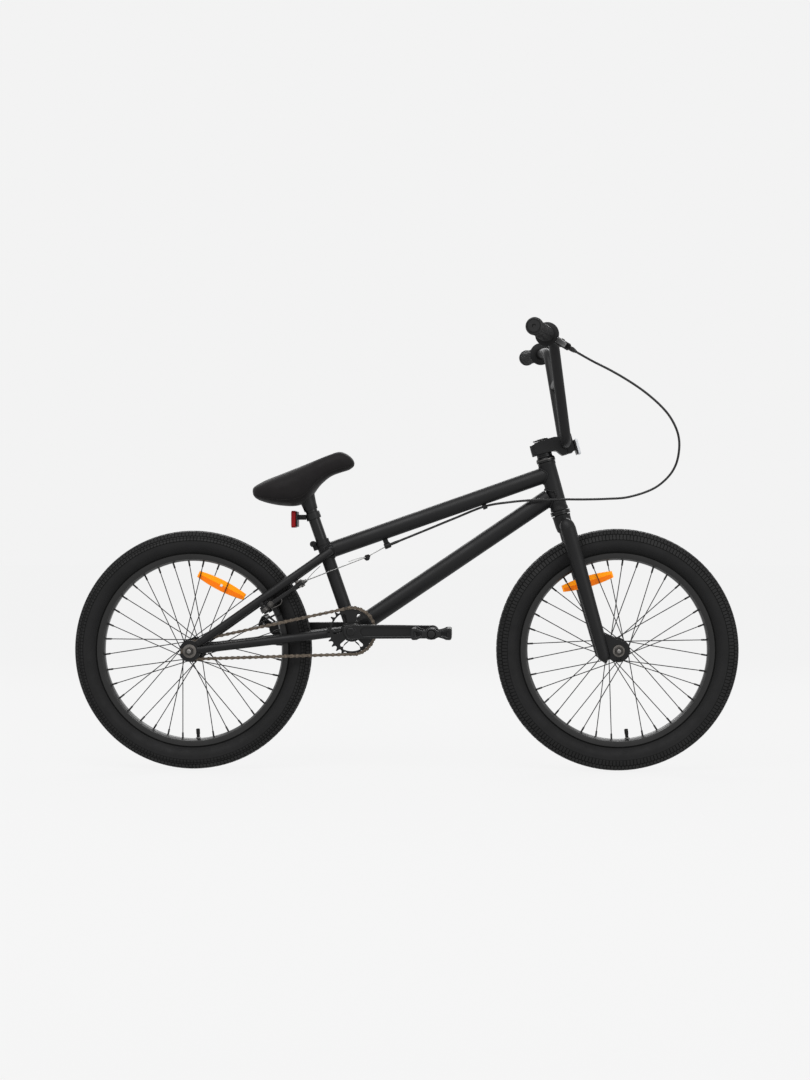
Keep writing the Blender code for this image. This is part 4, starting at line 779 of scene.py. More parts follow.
def build_fork():
    """The steerer, the crown, and on each side a leg with its dropout."""
    steerer = tube([head(-0.099, 0), head(0.101, 0)], 0.0143, 36)
    crown_path = [head(-0.089, 0.003, y) for y in (-0.046, -0.02, 0.0, 0.02, 0.046)]
    crown = tube(crown_path, [0.0120, 0.0140, 0.0150, 0.0140, 0.0120], 36)
    race = turned([(0.0, -0.104), (0.0120, -0.104), (0.0172, -0.098), (0.0186, -0.088),
                   (0.0192, -0.070), (0.0200, -0.0662), (0.0192, -0.0648), (0.0, -0.0648)],
                  HEAD, HEAD_UP, 48)
    low = head(FORK_LOW, 0.0056, FORK_OUT)
    shape = join_shapes(steerer, crown, race, both_sides(fork_leg()), both_sides(fork_dropout()),
                        both_sides(ring_bead(low + HEAD_UP * 0.0008, HEAD_UP, 0.0122, 0.0011)))
    piece("fork_body", shape, PAINT, "steering", 0.0004, 40, replace="fork")


def bar_direction(side):
    """The way the grip end of the bar runs, outwards on the given side."""
    return Vector((-0.2186, side * 1.0, 0.0228)).normalized()


def bar_point(side, y):
    end = head(0.3118, 0.0348, side * BAR_END_Y)
    return end + bar_direction(side) * (y - BAR_END_Y) / abs(bar_direction(side).y)


def build_handlebar():
    """One bent tube through the stem, with a crossbar between its two rises."""
    right = [bar_point(-1, BAR_END_Y), bar_point(-1, 0.164), BAR_CLAMP - Y * 0.071]
    left = [flip(p) for p in reversed(right)]
    path = bezier_corner(right + left, 0.030, 12)
    low = right[2]
    high = right[1]
    brace = low.lerp(high, 0.62)
    along = (high - low).normalized()
    bar = tube(path, BAR_RADIUS, 36)
    cross_radius = 0.008
    cross = tube([brace, flip(brace)], cross_radius)
    bead = weld(brace, Vector((brace.x, 0, brace.z)), cross_radius, brace, along, BAR_RADIUS,
                0.0015, 20)
    piece("handlebar_tube", join_shapes(bar, cross, both_sides(bead)), PAINT, "steering",
          angle=50, replace="handlebar")


STEM_LOW = 0.0735
STEM_HIGH = 0.1020
CLAMP_LOW = 0.0585
STEM_HALF = 0.0235


def build_stem():
    """The stem's body and faceplate, their bolts and the cap on the steerer."""
    split = 0.0492
    side = [(-0.0255, STEM_LOW + 0.0010), (-0.0255, 0.0925), (-0.0225, 0.0962),
            (-0.0020, STEM_HIGH), (0.0300, STEM_HIGH), (0.0360, 0.1005), (split, 0.1005),
            (split, CLAMP_LOW),
            (0.0370, CLAMP_LOW), (0.0320, 0.0640), (0.0270, 0.0712), (0.0200, STEM_LOW)]
    body = plate(side, HEAD, HEAD_FORWARD, HEAD_UP, Y, -STEM_HALF, STEM_HALF)
    foot = turned([(0.0, STEM_LOW - 0.0006), (0.0205, STEM_LOW - 0.0006),
                   (0.0215, STEM_LOW + 0.001), (0.0, STEM_LOW + 0.004)], HEAD, HEAD_UP, 40)
    piece("stem_body", join_shapes(body, foot), PAINT, "steering", 0.0012, 30, replace="stem")
    half = (STEM_HIGH - STEM_LOW) / 2
    # Painted shade: a thin strip of matt black rubber on the back of the stem stands for the shaded gap
    # of its clamp slot.
    slot_shade = block(head(STEM_LOW + half - 0.003, -0.0225), (0.0034, 0.0009, half - 0.002),
                 (HEAD_FORWARD, Y, HEAD_UP))
    piece("stem_slot_shade", slot_shade, PAD, "steering")
    back = split + 0.0005
    front = [(back, CLAMP_LOW + 0.0003), (0.0590, CLAMP_LOW + 0.0003),
             (0.0662, CLAMP_LOW + 0.0080), (0.0664, 0.0950), (0.0600, 0.1000), (back, 0.1003)]
    face = plate(front, HEAD, HEAD_FORWARD, HEAD_UP, Y, -STEM_HALF, STEM_HALF)
    piece("stem_front", face, PAINT, "steering", 0.0010, 30, replace="stem_faceplate")
    bolts = []
    for up in (0.0660, 0.0965):
        for way in (-1, 1):
            bolts.append(bolt_head(head(up, 0.0635, way * 0.0165), HEAD_FORWARD, 0.0040, 0.0030,
                                   0.0022))
    for up in (0.0790, 0.0905):
        bolts.append(bolt_head(head(up, -0.0195, -STEM_HALF + 0.0020), Y * -1.0, 0.0038, 0.0028,
                               0.0021))
        bolts.append(bolt_head(head(up, -0.0195, STEM_HALF - 0.0020), Y, 0.0034, 0.0024, 0.0019))
    piece("stem_bolts", join_shapes(*bolts), SATIN, "steering")
    profile = [(radius, STEM_HIGH + height) for radius, height in (
        (0.0, 0.0005), (0.0163, 0.0005), (0.0166, 0.0010), (0.0166, 0.0026), (0.0150, 0.0036),
        (0.0080, 0.0042), (0.0, 0.0042))]
    cap = turned(profile, HEAD, HEAD_UP)
    cap_bolt = bolt_head(head(STEM_HIGH + 0.0024, 0), HEAD_UP, 0.0045, 0.0020, 0.0025)
    piece("stem_top", join_shapes(cap, cap_bolt), SATIN, "steering", replace="stem_cap")


def grip_profile(length):
    """Fine rings between a thin inner flange and a thicker outer lip."""
    inner = BAR_RADIUS + 0.0003
    profile = [(inner, 0), (0.0242, 0), (0.0250, 0.0008), (0.0250, 0.0024), (0.0240, 0.0032),
               (0.0172, 0.0046), (0.0160, 0.0070)]
    start = 0.0085
    stop = length - 0.0125
    ribs = 27
    for i in range(ribs):
        base = start + (stop - start) * i / ribs
        width = (stop - start) / ribs
        profile += [(0.01480, base), (0.01590, base + width * 0.22), (0.01605, base + width * 0.5),
                    (0.01590, base + width * 0.78)]
    profile += [(0.0150, stop), (0.0156, length - 0.010), (0.0178, length - 0.0068),
                (0.0181, length - 0.0050), (0.0181, length - 0.0014), (0.0176, length - 0.0006),
                (inner, length - 0.0006)]
    return profile


def build_grips():
    """A ribbed grip and a plug at each end of the bar."""
    for name, side in SIDES:
        start = bar_point(side, GRIP_START_Y)
        direction = bar_direction(side)
        length = (bar_point(side, BAR_END_Y) - start).length
        piece(f"grip_{name}_rubber", turned(grip_profile(length), start, direction, 56, loop=True),
              GRIP, "steering", angle=50, replace=f"grip_{name}")
        plug = [(0.0, length + 0.0020), (0.0034, length + 0.0022), (0.0040, length + 0.0046),
                (0.0122, length + 0.0046), (0.0128, length + 0.0034), (0.0136, length + 0.0034),
                (0.0142, length + 0.0044), (0.0152, length + 0.0040),
                (0.0170, length + 0.0026), (0.0172, length + 0.0005), (0.0088, length + 0.0003),
                (0.0088, length - 0.016), (0.0, length - 0.016)]
        piece(f"bar_plug_{name}", turned(plug, start, direction, 44), PLASTIC, "steering",
              replace=f"bar_end_{name}")


# ---------------------------------------------------------------- brake lever and reflectors
LEVER_OUT = bar_direction(-1)
LEVER_REACH = LEVER_OUT.cross(LEVER_AXIS).normalized()


def lever_point(reach, out, up=0.0):
    """A place in the lever's plane, measured from the bar where the bracket clamps it."""
    return bar_point(-1, LEVER_Y) + LEVER_REACH * reach + LEVER_OUT * out + LEVER_AXIS * up


def build_lever():
    """The bracket on the bar with its bolts and barrel, and the blade."""
    axes = (LEVER_REACH, LEVER_OUT, LEVER_AXIS)
    centre = bar_point(-1, LEVER_Y)
    band = turned(collar(BAR_RADIUS + 0.0003, 0.0165, -0.007, 0.007, 0.0007, 0.001), centre,
                  LEVER_OUT, 40, loop=True)
    body_outline = [(0.012, -0.0110), (0.0240, -0.0100), (0.0330, -0.0125), (0.0465, -0.0125),
                    (0.0478, -0.0050), (0.0420, -0.0010), (0.0405, 0.0048), (0.0240, 0.0048),
                    (0.0210, 0.0020), (0.0140, 0.0048)]
    cheeks = [plate(body_outline, lever_point(0, 0), LEVER_REACH, LEVER_OUT, LEVER_AXIS, a, b)
              for a, b in ((-0.0076, -0.0038), (0.0038, 0.0076))]
    root = block(lever_point(0.0190, -0.0040), (0.0050, 0.0066, 0.0060), axes)
    nose = block(lever_point(0.0430, -0.0095), (0.0054, 0.0034, 0.0062), axes)
    start = lever_point(0.0460, -0.0098)
    end = lever_point(0.0560, -0.0280)
    along = (end - start).normalized()
    barrel = [(0.0, 0.0)]
    for i in range(17):
        ridge = 0.0053 if 4 <= i <= 12 and i % 2 else 0.0047
        barrel.append((ridge, (end - start).length * i / 16))
    barrel.append((0.0, (end - start).length))
    piece("lever_bracket", join_shapes(band, *cheeks, root, nose, turned(barrel, start, along, 24)),
          SATIN, "steering", 0.0006, 35, replace="brake_lever_bracket")
    bolts = [bolt_head(LEVER_PIVOT + LEVER_AXIS * (s * 0.0074), LEVER_AXIS * s, 0.0036, 0.0018,
                       0.0018) for s in (-1, 1)]
    clamp_bolt = bolt_head(lever_point(0.0190, 0.0046), LEVER_OUT, 0.0032, 0.0024, 0.0018)
    piece("lever_bolts", join_shapes(*bolts, clamp_bolt), STEEL, "steering")
    piece("lever_blade", lever_blade(), SATIN, "lever", 0.0, 50, replace="brake_lever")


def lever_blade():
    """The curved blade: an oval that thickens in the middle and steps in at its tip."""
    keys = [lever_point(0.030, 0.003), lever_point(0.038, 0.017), lever_point(0.046, 0.040),
            lever_point(0.044, 0.066), lever_point(0.037, 0.092)]
    rings = []
    steps = 28
    for i in range(steps + 1):
        t = i / steps
        point = smooth_values(keys, t)
        ahead = smooth_values(keys, min(t + 0.02, 1.0)) - smooth_values(keys, max(t - 0.02, 0.0))
        out = LEVER_AXIS.cross(ahead.normalized())
        thick = 0.0026 + 0.0008 * math.sin(math.pi * t)
        tall = 0.0034 + 0.0022 * min(t * 1.6, 1.0)
        if t > 0.93:
            thick *= 0.80
            tall *= 0.80
        ring = []
        for j in range(20):
            turn = 2 * math.pi * j / 20
            ring.append(point + out * (thick * math.cos(turn))
                        + LEVER_AXIS * (tall * math.sin(turn)))
        rings.append(ring)
    return bridge_rings(rings)


def rounded_box(u_half, v_half, radius):
    """A rectangle's outline with round corners."""
    u = u_half - radius
    v = v_half - radius
    outline = []
    for centre, start in (((u, v), 0), ((-u, v), 90), ((-u, -v), 180), ((u, -v), 270)):
        outline += arc(centre, radius, start, start + 90, 6)
    return outline


def lens_block(outline, origin, u, v, w, low, high, lip=0.0012):
    """A lens whose face is stepped in by a narrow bevel all round."""
    biggest = max(abs(a) for a, _ in outline)
    shrink = 1.0 - lip / biggest * 2.0
    rings = []
    for size, level in ((shrink, low), (1.0, low + lip * 0.7), (1.0, high - lip * 0.7),
                        (shrink, high)):
        rings.append([Vector(origin) + u * (a * size) + v * (b * size) + w * level
                      for a, b in outline])
    return bridge_rings(rings)


def build_front_reflector():
    """A clear lens ahead of the stem, its backing and a clamp round the bar."""
    ring = turned(collar(BAR_RADIUS + 0.0003, 0.0140, 0.0265, 0.0385, 0.0004, 0.0007), BAR_CLAMP,
                  Y, 40, loop=True)
    axes = (HEAD_FORWARD, Y, HEAD_UP)
    arm = block(head(0.0800, 0.0665, 0.0325), (0.0040, 0.0050, 0.0040), axes)
    backing = plate(rounded_box(0.0315, 0.0160, 0.004), head(0.0685, 0.0, 0.006), Y, HEAD_UP,
                    HEAD_FORWARD, 0.0675, 0.0705)
    piece("reflector_clamp_front", join_shapes(ring, arm, backing), PLASTIC, "steering", 0.0005, 35,
          replace="front_reflector_bracket")
    clear = lens_block(rounded_box(0.0255, 0.0173, 0.004), head(0.0685, 0.0), Y, HEAD_UP,
                       HEAD_FORWARD, 0.0709, 0.0765)
    piece("front_reflector_lens", clear, CLEAR, "steering", replace="front_reflector")


def build_rear_reflector():
    """A red lens behind the seat post, its backing and a clamp round the post."""
    band_low = 0.2555
    band = turned(collar(POST_RADIUS + 0.0003, 0.0162, band_low, band_low + 0.0150, 0.0006,
                         0.0008), BB, SEAT_UP, 40, loop=True)
    low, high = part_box("rear_reflector")
    centre = (low + high) / 2
    start = on_seat_tube(0.2630) + Vector((-0.0160, 0, -0.003))
    arm = block(start - X * 0.0090, (0.0095, 0.005, 0.0055))
    back = plate(rounded_box(0.0210, 0.0165, 0.004), centre, Y, Z, X, 0.0055, 0.0087)
    bolt = bolt_head(start + Vector((-0.0060, -0.0048, 0)), Y * -1.0, 0.0028, 0.0020, 0.0014)
    piece("reflector_clamp_rear", join_shapes(band, arm, back, bolt), PLASTIC, "seat", 0.0006, 35,
          replace="rear_reflector_bracket")
    half = high.x - centre.x
    red = lens_block(rounded_box(0.0230, 0.0183, 0.005), centre, Y, Z, X, -half, half, 0.0015)
    piece("rear_reflector_lens", red, RED, "seat", replace="rear_reflector")


# ---------------------------------------------------------------- wheels
CASING_MIDDLE = 0.2315
BLOCK_LIFT = 0.0012
GROOVE_WIDTH = 0.0017
RIM_HALF = 0.0165
HUB_FLANGES = {"front": (-0.0330, 0.0330), "rear": (-0.0240, 0.0340)}
HUB_ENDS = {"front": (-0.0395, 0.0395), "rear": (-0.0355, 0.0440)}
VALVE_TURNS = {"front": math.radians(-83.6), "rear": math.radians(-86.8)}
SPOKES = 36
SPOKE_HOLES = 0.0218
SPOKE_ENDS = 0.1950


def tyre_section(radius):
    """A smooth closed loop of (radius, y), open towards the rim."""
    right = [(0.2045, 0.0118), (0.2060, 0.0140), (0.2095, 0.0146), (0.2112, 0.0150),
             (0.2122, 0.0163), (0.2150, 0.0196), (0.2200, 0.0241), (0.2255, 0.0270),
             (0.2310, 0.0279), (0.2365, 0.0277), (0.2384, 0.0279), (0.2396, 0.0274),
             (0.2440, 0.0252), (radius - 0.0130, 0.0220), (radius - 0.0080, 0.0176),
             (radius - 0.0044, 0.0122), (radius - 0.0024, 0.0062)]
    crown = [(radius - 0.0018, 0.0)]
    inner = [(radius - 0.0080, 0.0), (radius - 0.0130, 0.0160), (0.2310, 0.0235),
             (0.2130, 0.0122), (0.2045, 0.0098)]
    outside = [(r, -y) for r, y in right] + crown + [(r, y) for r, y in reversed(right)]
    inside = [(r, y) for r, y in reversed(inner)] + [(r, -y) for r, y in inner[1:]]
    return outside + inside


def groove_shade_section(radius):
    """A thin skin over the casing under the tread blocks, painted near black as the shade on the groove
    floor.
    """
    line = [(0.2372, 0.0280), (0.2386, 0.0281), (0.2398, 0.0276), (0.2441, 0.0254),
            (radius - 0.0129, 0.0222), (radius - 0.0079, 0.0178), (radius - 0.0043, 0.0124),
            (radius - 0.0022, 0.0063)]
    outside = [(r, -y) for r, y in line] + [(radius - 0.0015, 0.0)]
    outside += [(r, y) for r, y in reversed(line)]
    return outside + [(r - 0.0009, y * 0.965) for r, y in reversed(outside)]


def tread_block(axle, low, high, turn, half_along):
    """One rubber block between two points (radius, y) of the tyre's section."""
    slope = math.hypot(high[0] - low[0], high[1] - low[1])
    normal = ((low[1] - high[1]) / slope, (high[0] - low[0]) / slope)
    if normal[0] * (low[0] - CASING_MIDDLE) + normal[1] * low[1] < 0:
        normal = (-normal[0], -normal[1])
    middle_point = ((low[0] + high[0]) / 2, (low[1] + high[1]) / 2)
    rings = []
    for size, level in ((1.03, -BLOCK_LIFT), (1.0, BLOCK_LIFT * 0.75), (0.95, BLOCK_LIFT)):
        ring = []
        for end, side in ((low, -1), (low, 1), (high, 1), (high, -1)):
            r = middle_point[0] + (end[0] - middle_point[0]) * size + normal[0] * level
            y = middle_point[1] + (end[1] - middle_point[1]) * size + normal[1] * level
            ring.append(polar(axle, r, turn + side * half_along * size / end[0], y))
        rings.append(ring)
    return bridge_rings(rings)


def tread_rows(radius):
    """Each row of blocks: its two edges on the section, its count and its turn in steps."""
    return (
        ((0.2378, 0.0278), (radius - 0.0136, 0.0224), 204, 0.0),
        ((radius - 0.0122, 0.0213), (radius - 0.0058, 0.0146), 204, 0.5),
        ((radius - 0.0048, 0.0130), (radius - 0.0026, 0.0070), 102, 0.5),
        ((radius - 0.0023, 0.0055), (radius - 0.0018, 0.0005), 102, 0.0),
    )


def tread(axle, radius):
    """Rows of flat blocks with thin grooves, from the shoulders up to the crown."""
    shapes = []
    for low, high, count, shift in tread_rows(radius):
        half_along = math.pi * high[0] / count - GROOVE_WIDTH / 2
        for i in range(count):
            turn = 2 * math.pi * (i + shift) / count
            for side in (-1, 1):
                edges = [(r, side * y) for r, y in (low, high)]
                shapes.append(tread_block(axle, *edges, turn, half_along))
    return join_shapes(*shapes)


def rim_section():
    """The rim's two walls and its floor as a closed loop of (radius, y)."""
    outside = [(0.2090, RIM_HALF - 0.0006), (0.2086, RIM_HALF), (0.1990, RIM_HALF - 0.0002),
               (0.1972, RIM_HALF - 0.0010), (0.1952, 0.0110), (0.1938, 0.0082), (0.1935, 0.0060)]
    inside = [(0.2090, RIM_HALF - 0.0019), (0.2010, RIM_HALF - 0.0022), (0.1992, 0.0080)]
    return both_halves(outside) + [(r, -y) for r, y in inside] + list(reversed(inside))


def wheel_spokes(axle, right_flange, left_flange, phase):
    """Round spokes laced three-cross, each with a head at the hub and a nipple at the rim.

    The first place is left free for the tyre's valve.
    """
    shapes = []
    for number in range(1, SPOKES):
        turn = phase + 2 * math.pi * number / SPOKES
        side = -1 if number % 2 else 1
        leading = (number // 2) % 2 == 0
        flange = right_flange if side < 0 else left_flange
        offset = 0.0022 if leading else -0.0022
        hub_turn = turn + math.radians(60 if leading else -60)
        root = polar(axle, SPOKE_ENDS, turn, side * 0.002)
        hub = polar(axle, SPOKE_HOLES, hub_turn, flange + side * offset)
        hole = polar(axle, SPOKE_HOLES, hub_turn, flange - side * offset)
        along = (root - hub).normalized()
        shapes.append(tube([hole, hub + along * 0.0004, hub + along * 0.0020, root], 0.00105, 10))
        shapes.append(turned([(0.0, 0.0), (0.0020, 0.0002), (0.0018, 0.0010), (0.0, 0.0014)],
                             hole, (hole - hub).normalized(), 12))
        shapes.append(tube([root, root - along * 0.0130, root - along * 0.0137],
                           [0.0020, 0.0020, 0.0013], 12))
    return join_shapes(*shapes)


def hub_section(right_flange, left_flange, right_end, left_end):
    """A closed profile of (radius, y) with a thin flange for the spokes near each end."""

    def half(flange, end, inward):
        run = ((0.0160, -0.0012), (0.0250, -0.0012), (0.0257, 0.0), (0.0250, 0.0012),
               (0.0165, 0.0012), (0.0138, 0.0030), (0.0118, 0.0070), (0.0112, 0.0200))
        outer = [(0.0088, end), (0.0095, end + inward * 0.0006),
                 (0.0120, flange - inward * 0.0060), (0.0140, flange - inward * 0.0020)]
        return outer + [(radius, flange + inward * y) for radius, y in run]

    left = list(reversed(half(left_flange, left_end, -1)))
    return half(right_flange, right_end, 1) + left + [(0.0062, left_end), (0.0062, right_end)]


def build_inner_tube(end, axle, radius, phase, body):
    """The tube inside the tyre and its valve, which stands through the rim."""
    loop = [(radius - 0.0150 + 0.0068 * math.cos(math.radians(a)) - 0.008,
             0.0150 * math.sin(math.radians(a))) for a in range(0, 360, 20)]
    ring = turned(loop, axle, Y, 96, loop=True)
    outward = Vector((math.cos(phase), 0, math.sin(phase)))
    stem = turned([(0.0, 0.0), (0.0033, 0.0), (0.0036, 0.0010), (0.0036, 0.0270), (0.0040, 0.0272),
                   (0.0042, 0.0282), (0.0042, 0.0375), (0.0036, 0.0388), (0.0022, 0.0393),
                   (0.0, 0.0393)], axle + outward * 0.2115, outward * -1.0, 24)
    piece(f"{end}_tube_and_valve", join_shapes(ring, stem), PAD, body, 0.0, 40,
          replace=f"{end}_inner_tube")
    piece(f"{end}_valve_nut", hex_nut(axle + outward * 0.1931, outward * -1.0, 0.0105, 0.0022,
                                      0.004), BRIGHT, body, 0.0002)


def wheel_reflector_outline():
    """A long lens that swells in the middle between two blunt ends."""
    upper = []
    for i in range(13):
        t = -1 + i / 6
        upper.append((0.0566 * t, 0.0070 + 0.0052 * (1 - t * t)))
    return both_halves(upper)


def build_wheel_reflector(end, body):
    """The long lens between the spokes, its darker lower half and the clip that holds it."""
    centre = middle(f"{end}_wheel_reflector")
    axle, lean = (FRONT_AXLE, 7.0) if end == "front" else (REAR_AXLE, 3.0)
    out = centre - axle
    out.y = 0
    out.normalize()
    out.rotate(Quaternion(Y, math.radians(lean)))
    along = Vector((-out.z, 0, out.x))
    outline = wheel_reflector_outline()
    lens_shape = lens_block(outline, centre, along, out, Y, -0.0030, 0.0030, 0.0011)
    piece(f"{end}_wheel_lens", lens_shape, ORANGE, body, 0.0002, 30,
          replace=f"{end}_wheel_reflector")
    low_half = [(a * 0.94, min(b * 0.86, 0.0006)) for a, b in outline]
    shade = plate(low_half, centre, along, out, Y, -0.0034, 0.0034)
    piece(f"{end}_wheel_lens_low", shade, AMBER, body, 0.0002, 30)
    clip = plate(rounded_box(0.0028, 0.0028, 0.0012), centre, along, out, Y, -0.0042, 0.0042)
    piece(f"{end}_wheel_clip", clip, CLEAR, body, 0.0003, 30)


def build_wheel(end, axle):
    """The tyre, the rim, the spokes and the hub, on an axle that stands a tyre's radius high."""
    body = f"{end}_wheel"
    radius = axle.z
    flanges = HUB_FLANGES[end]
    phase = VALVE_TURNS[end]
    piece(f"{end}_tyre_casing", turned(tyre_section(radius), axle, Y, 180, loop=True), TYRE, body,
          angle=45, replace=f"{end}_tyre")
    # Painted shade: the groove skin is near black to stand for the shade between the tread blocks.
    piece(f"{end}_tyre_groove_shade", turned(groove_shade_section(radius), axle, Y, 180, loop=True), CREASE_SHADE,
          body, angle=45)
    piece(f"{end}_tyre_tread", tread(axle, radius), TREAD, body, angle=20)
    # Painted shade: a near-black ring of rubber where the tyre meets the rim, standing for the shade in
    # that crease.
    bead = both_halves([(0.2098, 0.0163), (0.2110, 0.0163), (0.2118, 0.0160), (0.2118, 0.0140),
                        (0.2098, 0.0140)])
    piece(f"{end}_tyre_bead_shade", turned(bead, axle, Y, 120, loop=True), CREASE_SHADE, body, angle=40)
    piece(f"{end}_rim_band", turned(rim_section(), axle, Y, 180, loop=True), RIM_BLACK, body,
          angle=30, replace=f"{end}_rim")
    piece(f"{end}_spoke_set", wheel_spokes(axle, *flanges, phase), SATIN, body, angle=50,
          replace=f"{end}_spokes")
    piece(f"{end}_hub_body", turned(hub_section(*flanges, *HUB_ENDS[end]), axle, Y, 56, loop=True), SATIN,
          body, angle=30, replace=f"{end}_hub")
    build_inner_tube(end, axle, radius, phase, body)
    build_wheel_reflector(end, body)


def build_axle(end, axle, radius, plates, cones, body):
    """The axle between two dropout plates, with its cones, locknuts, washers and nuts."""
    inner, outer = plates
    washer_radius = 0.0128 if end == "front" else 0.0148
    cone_radius = 0.0085
    reach = outer + 0.0115
    shaft = turned([(0.0, -inner), (cone_radius, -inner + 0.0003), (cone_radius, -cones[0]),
                    (radius, -cones[0]), (radius, cones[1]), (cone_radius, cones[1]),
                    (cone_radius, inner - 0.0003), (0.0, inner)], axle, Y, 32)
    ends = [threaded(axle + Y * (s * (inner - 0.001)), Y * s, radius, reach - inner)
            for s in (-1, 1)]
    locks = [hex_nut(axle + Y * (s * (inner - 0.0052)), Y * s, 0.0170, 0.0042, radius)
             for s in (-1, 1)]
    piece(f"{end}_axle_shaft", join_shapes(shaft, *ends, *locks), STEEL, body, 0.0, 30,
          replace=f"{end}_axle")
    for name, side in SIDES:
        face = axle + Y * (side * (outer + 0.0002))
        washer = turned([(radius, 0.0), (washer_radius - 0.0004, 0.0), (washer_radius, 0.0004),
                         (washer_radius - 0.0002, 0.0014), (washer_radius - 0.0022, 0.0018),
                         (radius, 0.0018)], face, Y * side, 48, loop=True)
        piece(f"{end}_axle_washer_{name}", washer, WASHER, body, angle=30)
        nut = hex_nut(face + Y * (side * 0.0019), Y * side, 0.0168, 0.0070, radius)
        piece(f"{end}_wheel_nut_{name}", nut, NUT, body, 0.0006, 30,
              replace=f"{end}_axle_nut_{name}")


# ---------------------------------------------------------------- drive
def pitch_radius(teeth):
    """The radius on which the chain's pins lie round a wheel with that many teeth."""
    return PITCH / (2 * math.sin(math.pi / teeth))


def belt():
    """Fine points of the chain's path round both toothed wheels."""
    large = pitch_radius(SPROCKET_TEETH)
    small = pitch_radius(COG_TEETH)
    between = BB - REAR_AXLE
    lean = math.atan2(between.z, between.x)
    opening = math.acos((large - small) / between.length)
    top = lean + opening
    low = lean - opening
    path = [polar(BB, large, low + (top - low) * i / 160) for i in range(161)]
    path += [polar(REAR_AXLE, small, top + (2 * math.pi - top + low) * i / 120)
             for i in range(121)]
    return path


def pin_places():
    """The chain's pins, one pitch apart round the belt, with a whole even number of links."""
    path = belt()
    path.append(path[0])
    lengths = [0.0]
    for a, b in zip(path, path[1:]):
        lengths.append(lengths[-1] + (b - a).length)
    count = 2 * round(lengths[-1] / PITCH / 2)
    places = []
    i = 0
    for k in range(count):
        target = lengths[-1] * k / count
        while lengths[i + 1] < target:
            i += 1
        share = (target - lengths[i]) / (lengths[i + 1] - lengths[i])
        places.append(path[i].lerp(path[i + 1], share))
    return places


def link_outline(length):
    """A link's side: two round ends with a waist between them."""
    radius = 0.0041
    waist = 0.0027
    outline = arc((length / 2, 0), radius, -68, 68, 8)
    outline += [(length * 0.16, waist), (0.0, waist * 0.94), (-length * 0.16, waist)]
    outline += arc((-length / 2, 0), radius, 112, 248, 8)
    outline += [(-length * 0.16, -waist), (0.0, -waist * 0.94), (length * 0.16, -waist)]
    return outline


def build_chain():
    """Plates on both sides of every link, inner and outer in turn, and its pins and rollers."""
    places = pin_places()
    count = len(places)
    plates = []
    pins = []
    for k, here in enumerate(places):
        after = places[(k + 1) % count]
        along = (after - here).normalized()
        up = Vector((-along.z, 0, along.x))
        centre = here.lerp(after, 0.5) + Y * CHAIN_LINE
        outline = link_outline((after - here).length)
        low, high = (0.0029, 0.0039) if k % 2 else (0.0018, 0.0028)
        plates.append(plate(outline, centre, along, up, Y, low, high))
        plates.append(plate(outline, centre, along, up, Y, -high, -low))
        pin = here + Y * CHAIN_LINE
        pins.append(turned(collar(0.0, 0.0017, -0.0045, 0.0045, 0.0005, 0.0003), pin, Y, 12))
        pins.append(turned([(0.0, -0.0017), (0.0036, -0.0017), (0.0036, 0.0017), (0.0, 0.0017)],
                           pin, Y, 16))
    piece("chain_plates", join_shapes(*plates), CHAIN, "frame", 0.00015, 30, replace="chain")
    piece("chain_pins", join_shapes(*pins), CHAIN, "frame")
    return places


def tooth_outline(teeth, phase):
    """Round gaps for the rollers with pointed teeth between them."""
    pitch = pitch_radius(teeth)
    half = math.pi / teeth
    gap = 0.0040
    outline = []
    for i in range(teeth):
        turn = phase + 2 * math.pi * i / teeth
        for a in (-78, -50, -25, 0, 25, 50, 78):
            t = math.radians(a)
            radius = pitch - gap * math.cos(t)
            outline.append((radius, turn + gap * math.sin(t) / pitch))
        outline.append((pitch + 0.0028, turn + half * 0.80))
        outline.append((pitch + 0.0036, turn + half))
        outline.append((pitch + 0.0028, turn + half * 1.20))
    return [(r * math.cos(t), r * math.sin(t)) for r, t in outline]


def turned_flat(points, degrees):
    """Flat points turned about their origin."""
    angle = math.radians(degrees)
    return [(a * math.cos(angle) - b * math.sin(angle), a * math.sin(angle) + b * math.cos(angle))
            for a, b in points]


def lens_window(turn):
    """A big hole that arches towards the spindle and follows the teeth on its outer side."""
    outer = arc((0, 0), 0.0432, -25, 25, 10)
    corner = outer[-1]
    inner = []
    for i in range(1, 16):
        t = math.pi * i / 16
        inner.append((corner[0] - (corner[0] - 0.0205) * math.sin(t) ** 0.8,
                      corner[1] * math.cos(t)))
    return turned_flat(outer + inner, turn)


def side_slot(turn, side):
    """A rounded slot that runs beside a big hole, with a thin rib between them."""
    half_long = 0.0068
    radius = 0.0038
    away = 0.0298
    aside = math.radians(31.6)
    outline = arc((half_long, 0), radius, -90, 90, 8) + arc((-half_long, 0), radius, 90, 270, 8)
    placed = [(a + away * math.cos(aside), b + side * away * math.sin(aside))
              for a, b in turned_flat(outline, side * 49.0)]
    return turned_flat(placed, turn)


def sprocket_holes():
    holes = [SPINDLE_HOLE]
    for turn in (-90, 30, 150):
        holes.append(lens_window(turn))
        holes += [side_slot(turn, side) for side in (-1, 1)]
    return holes


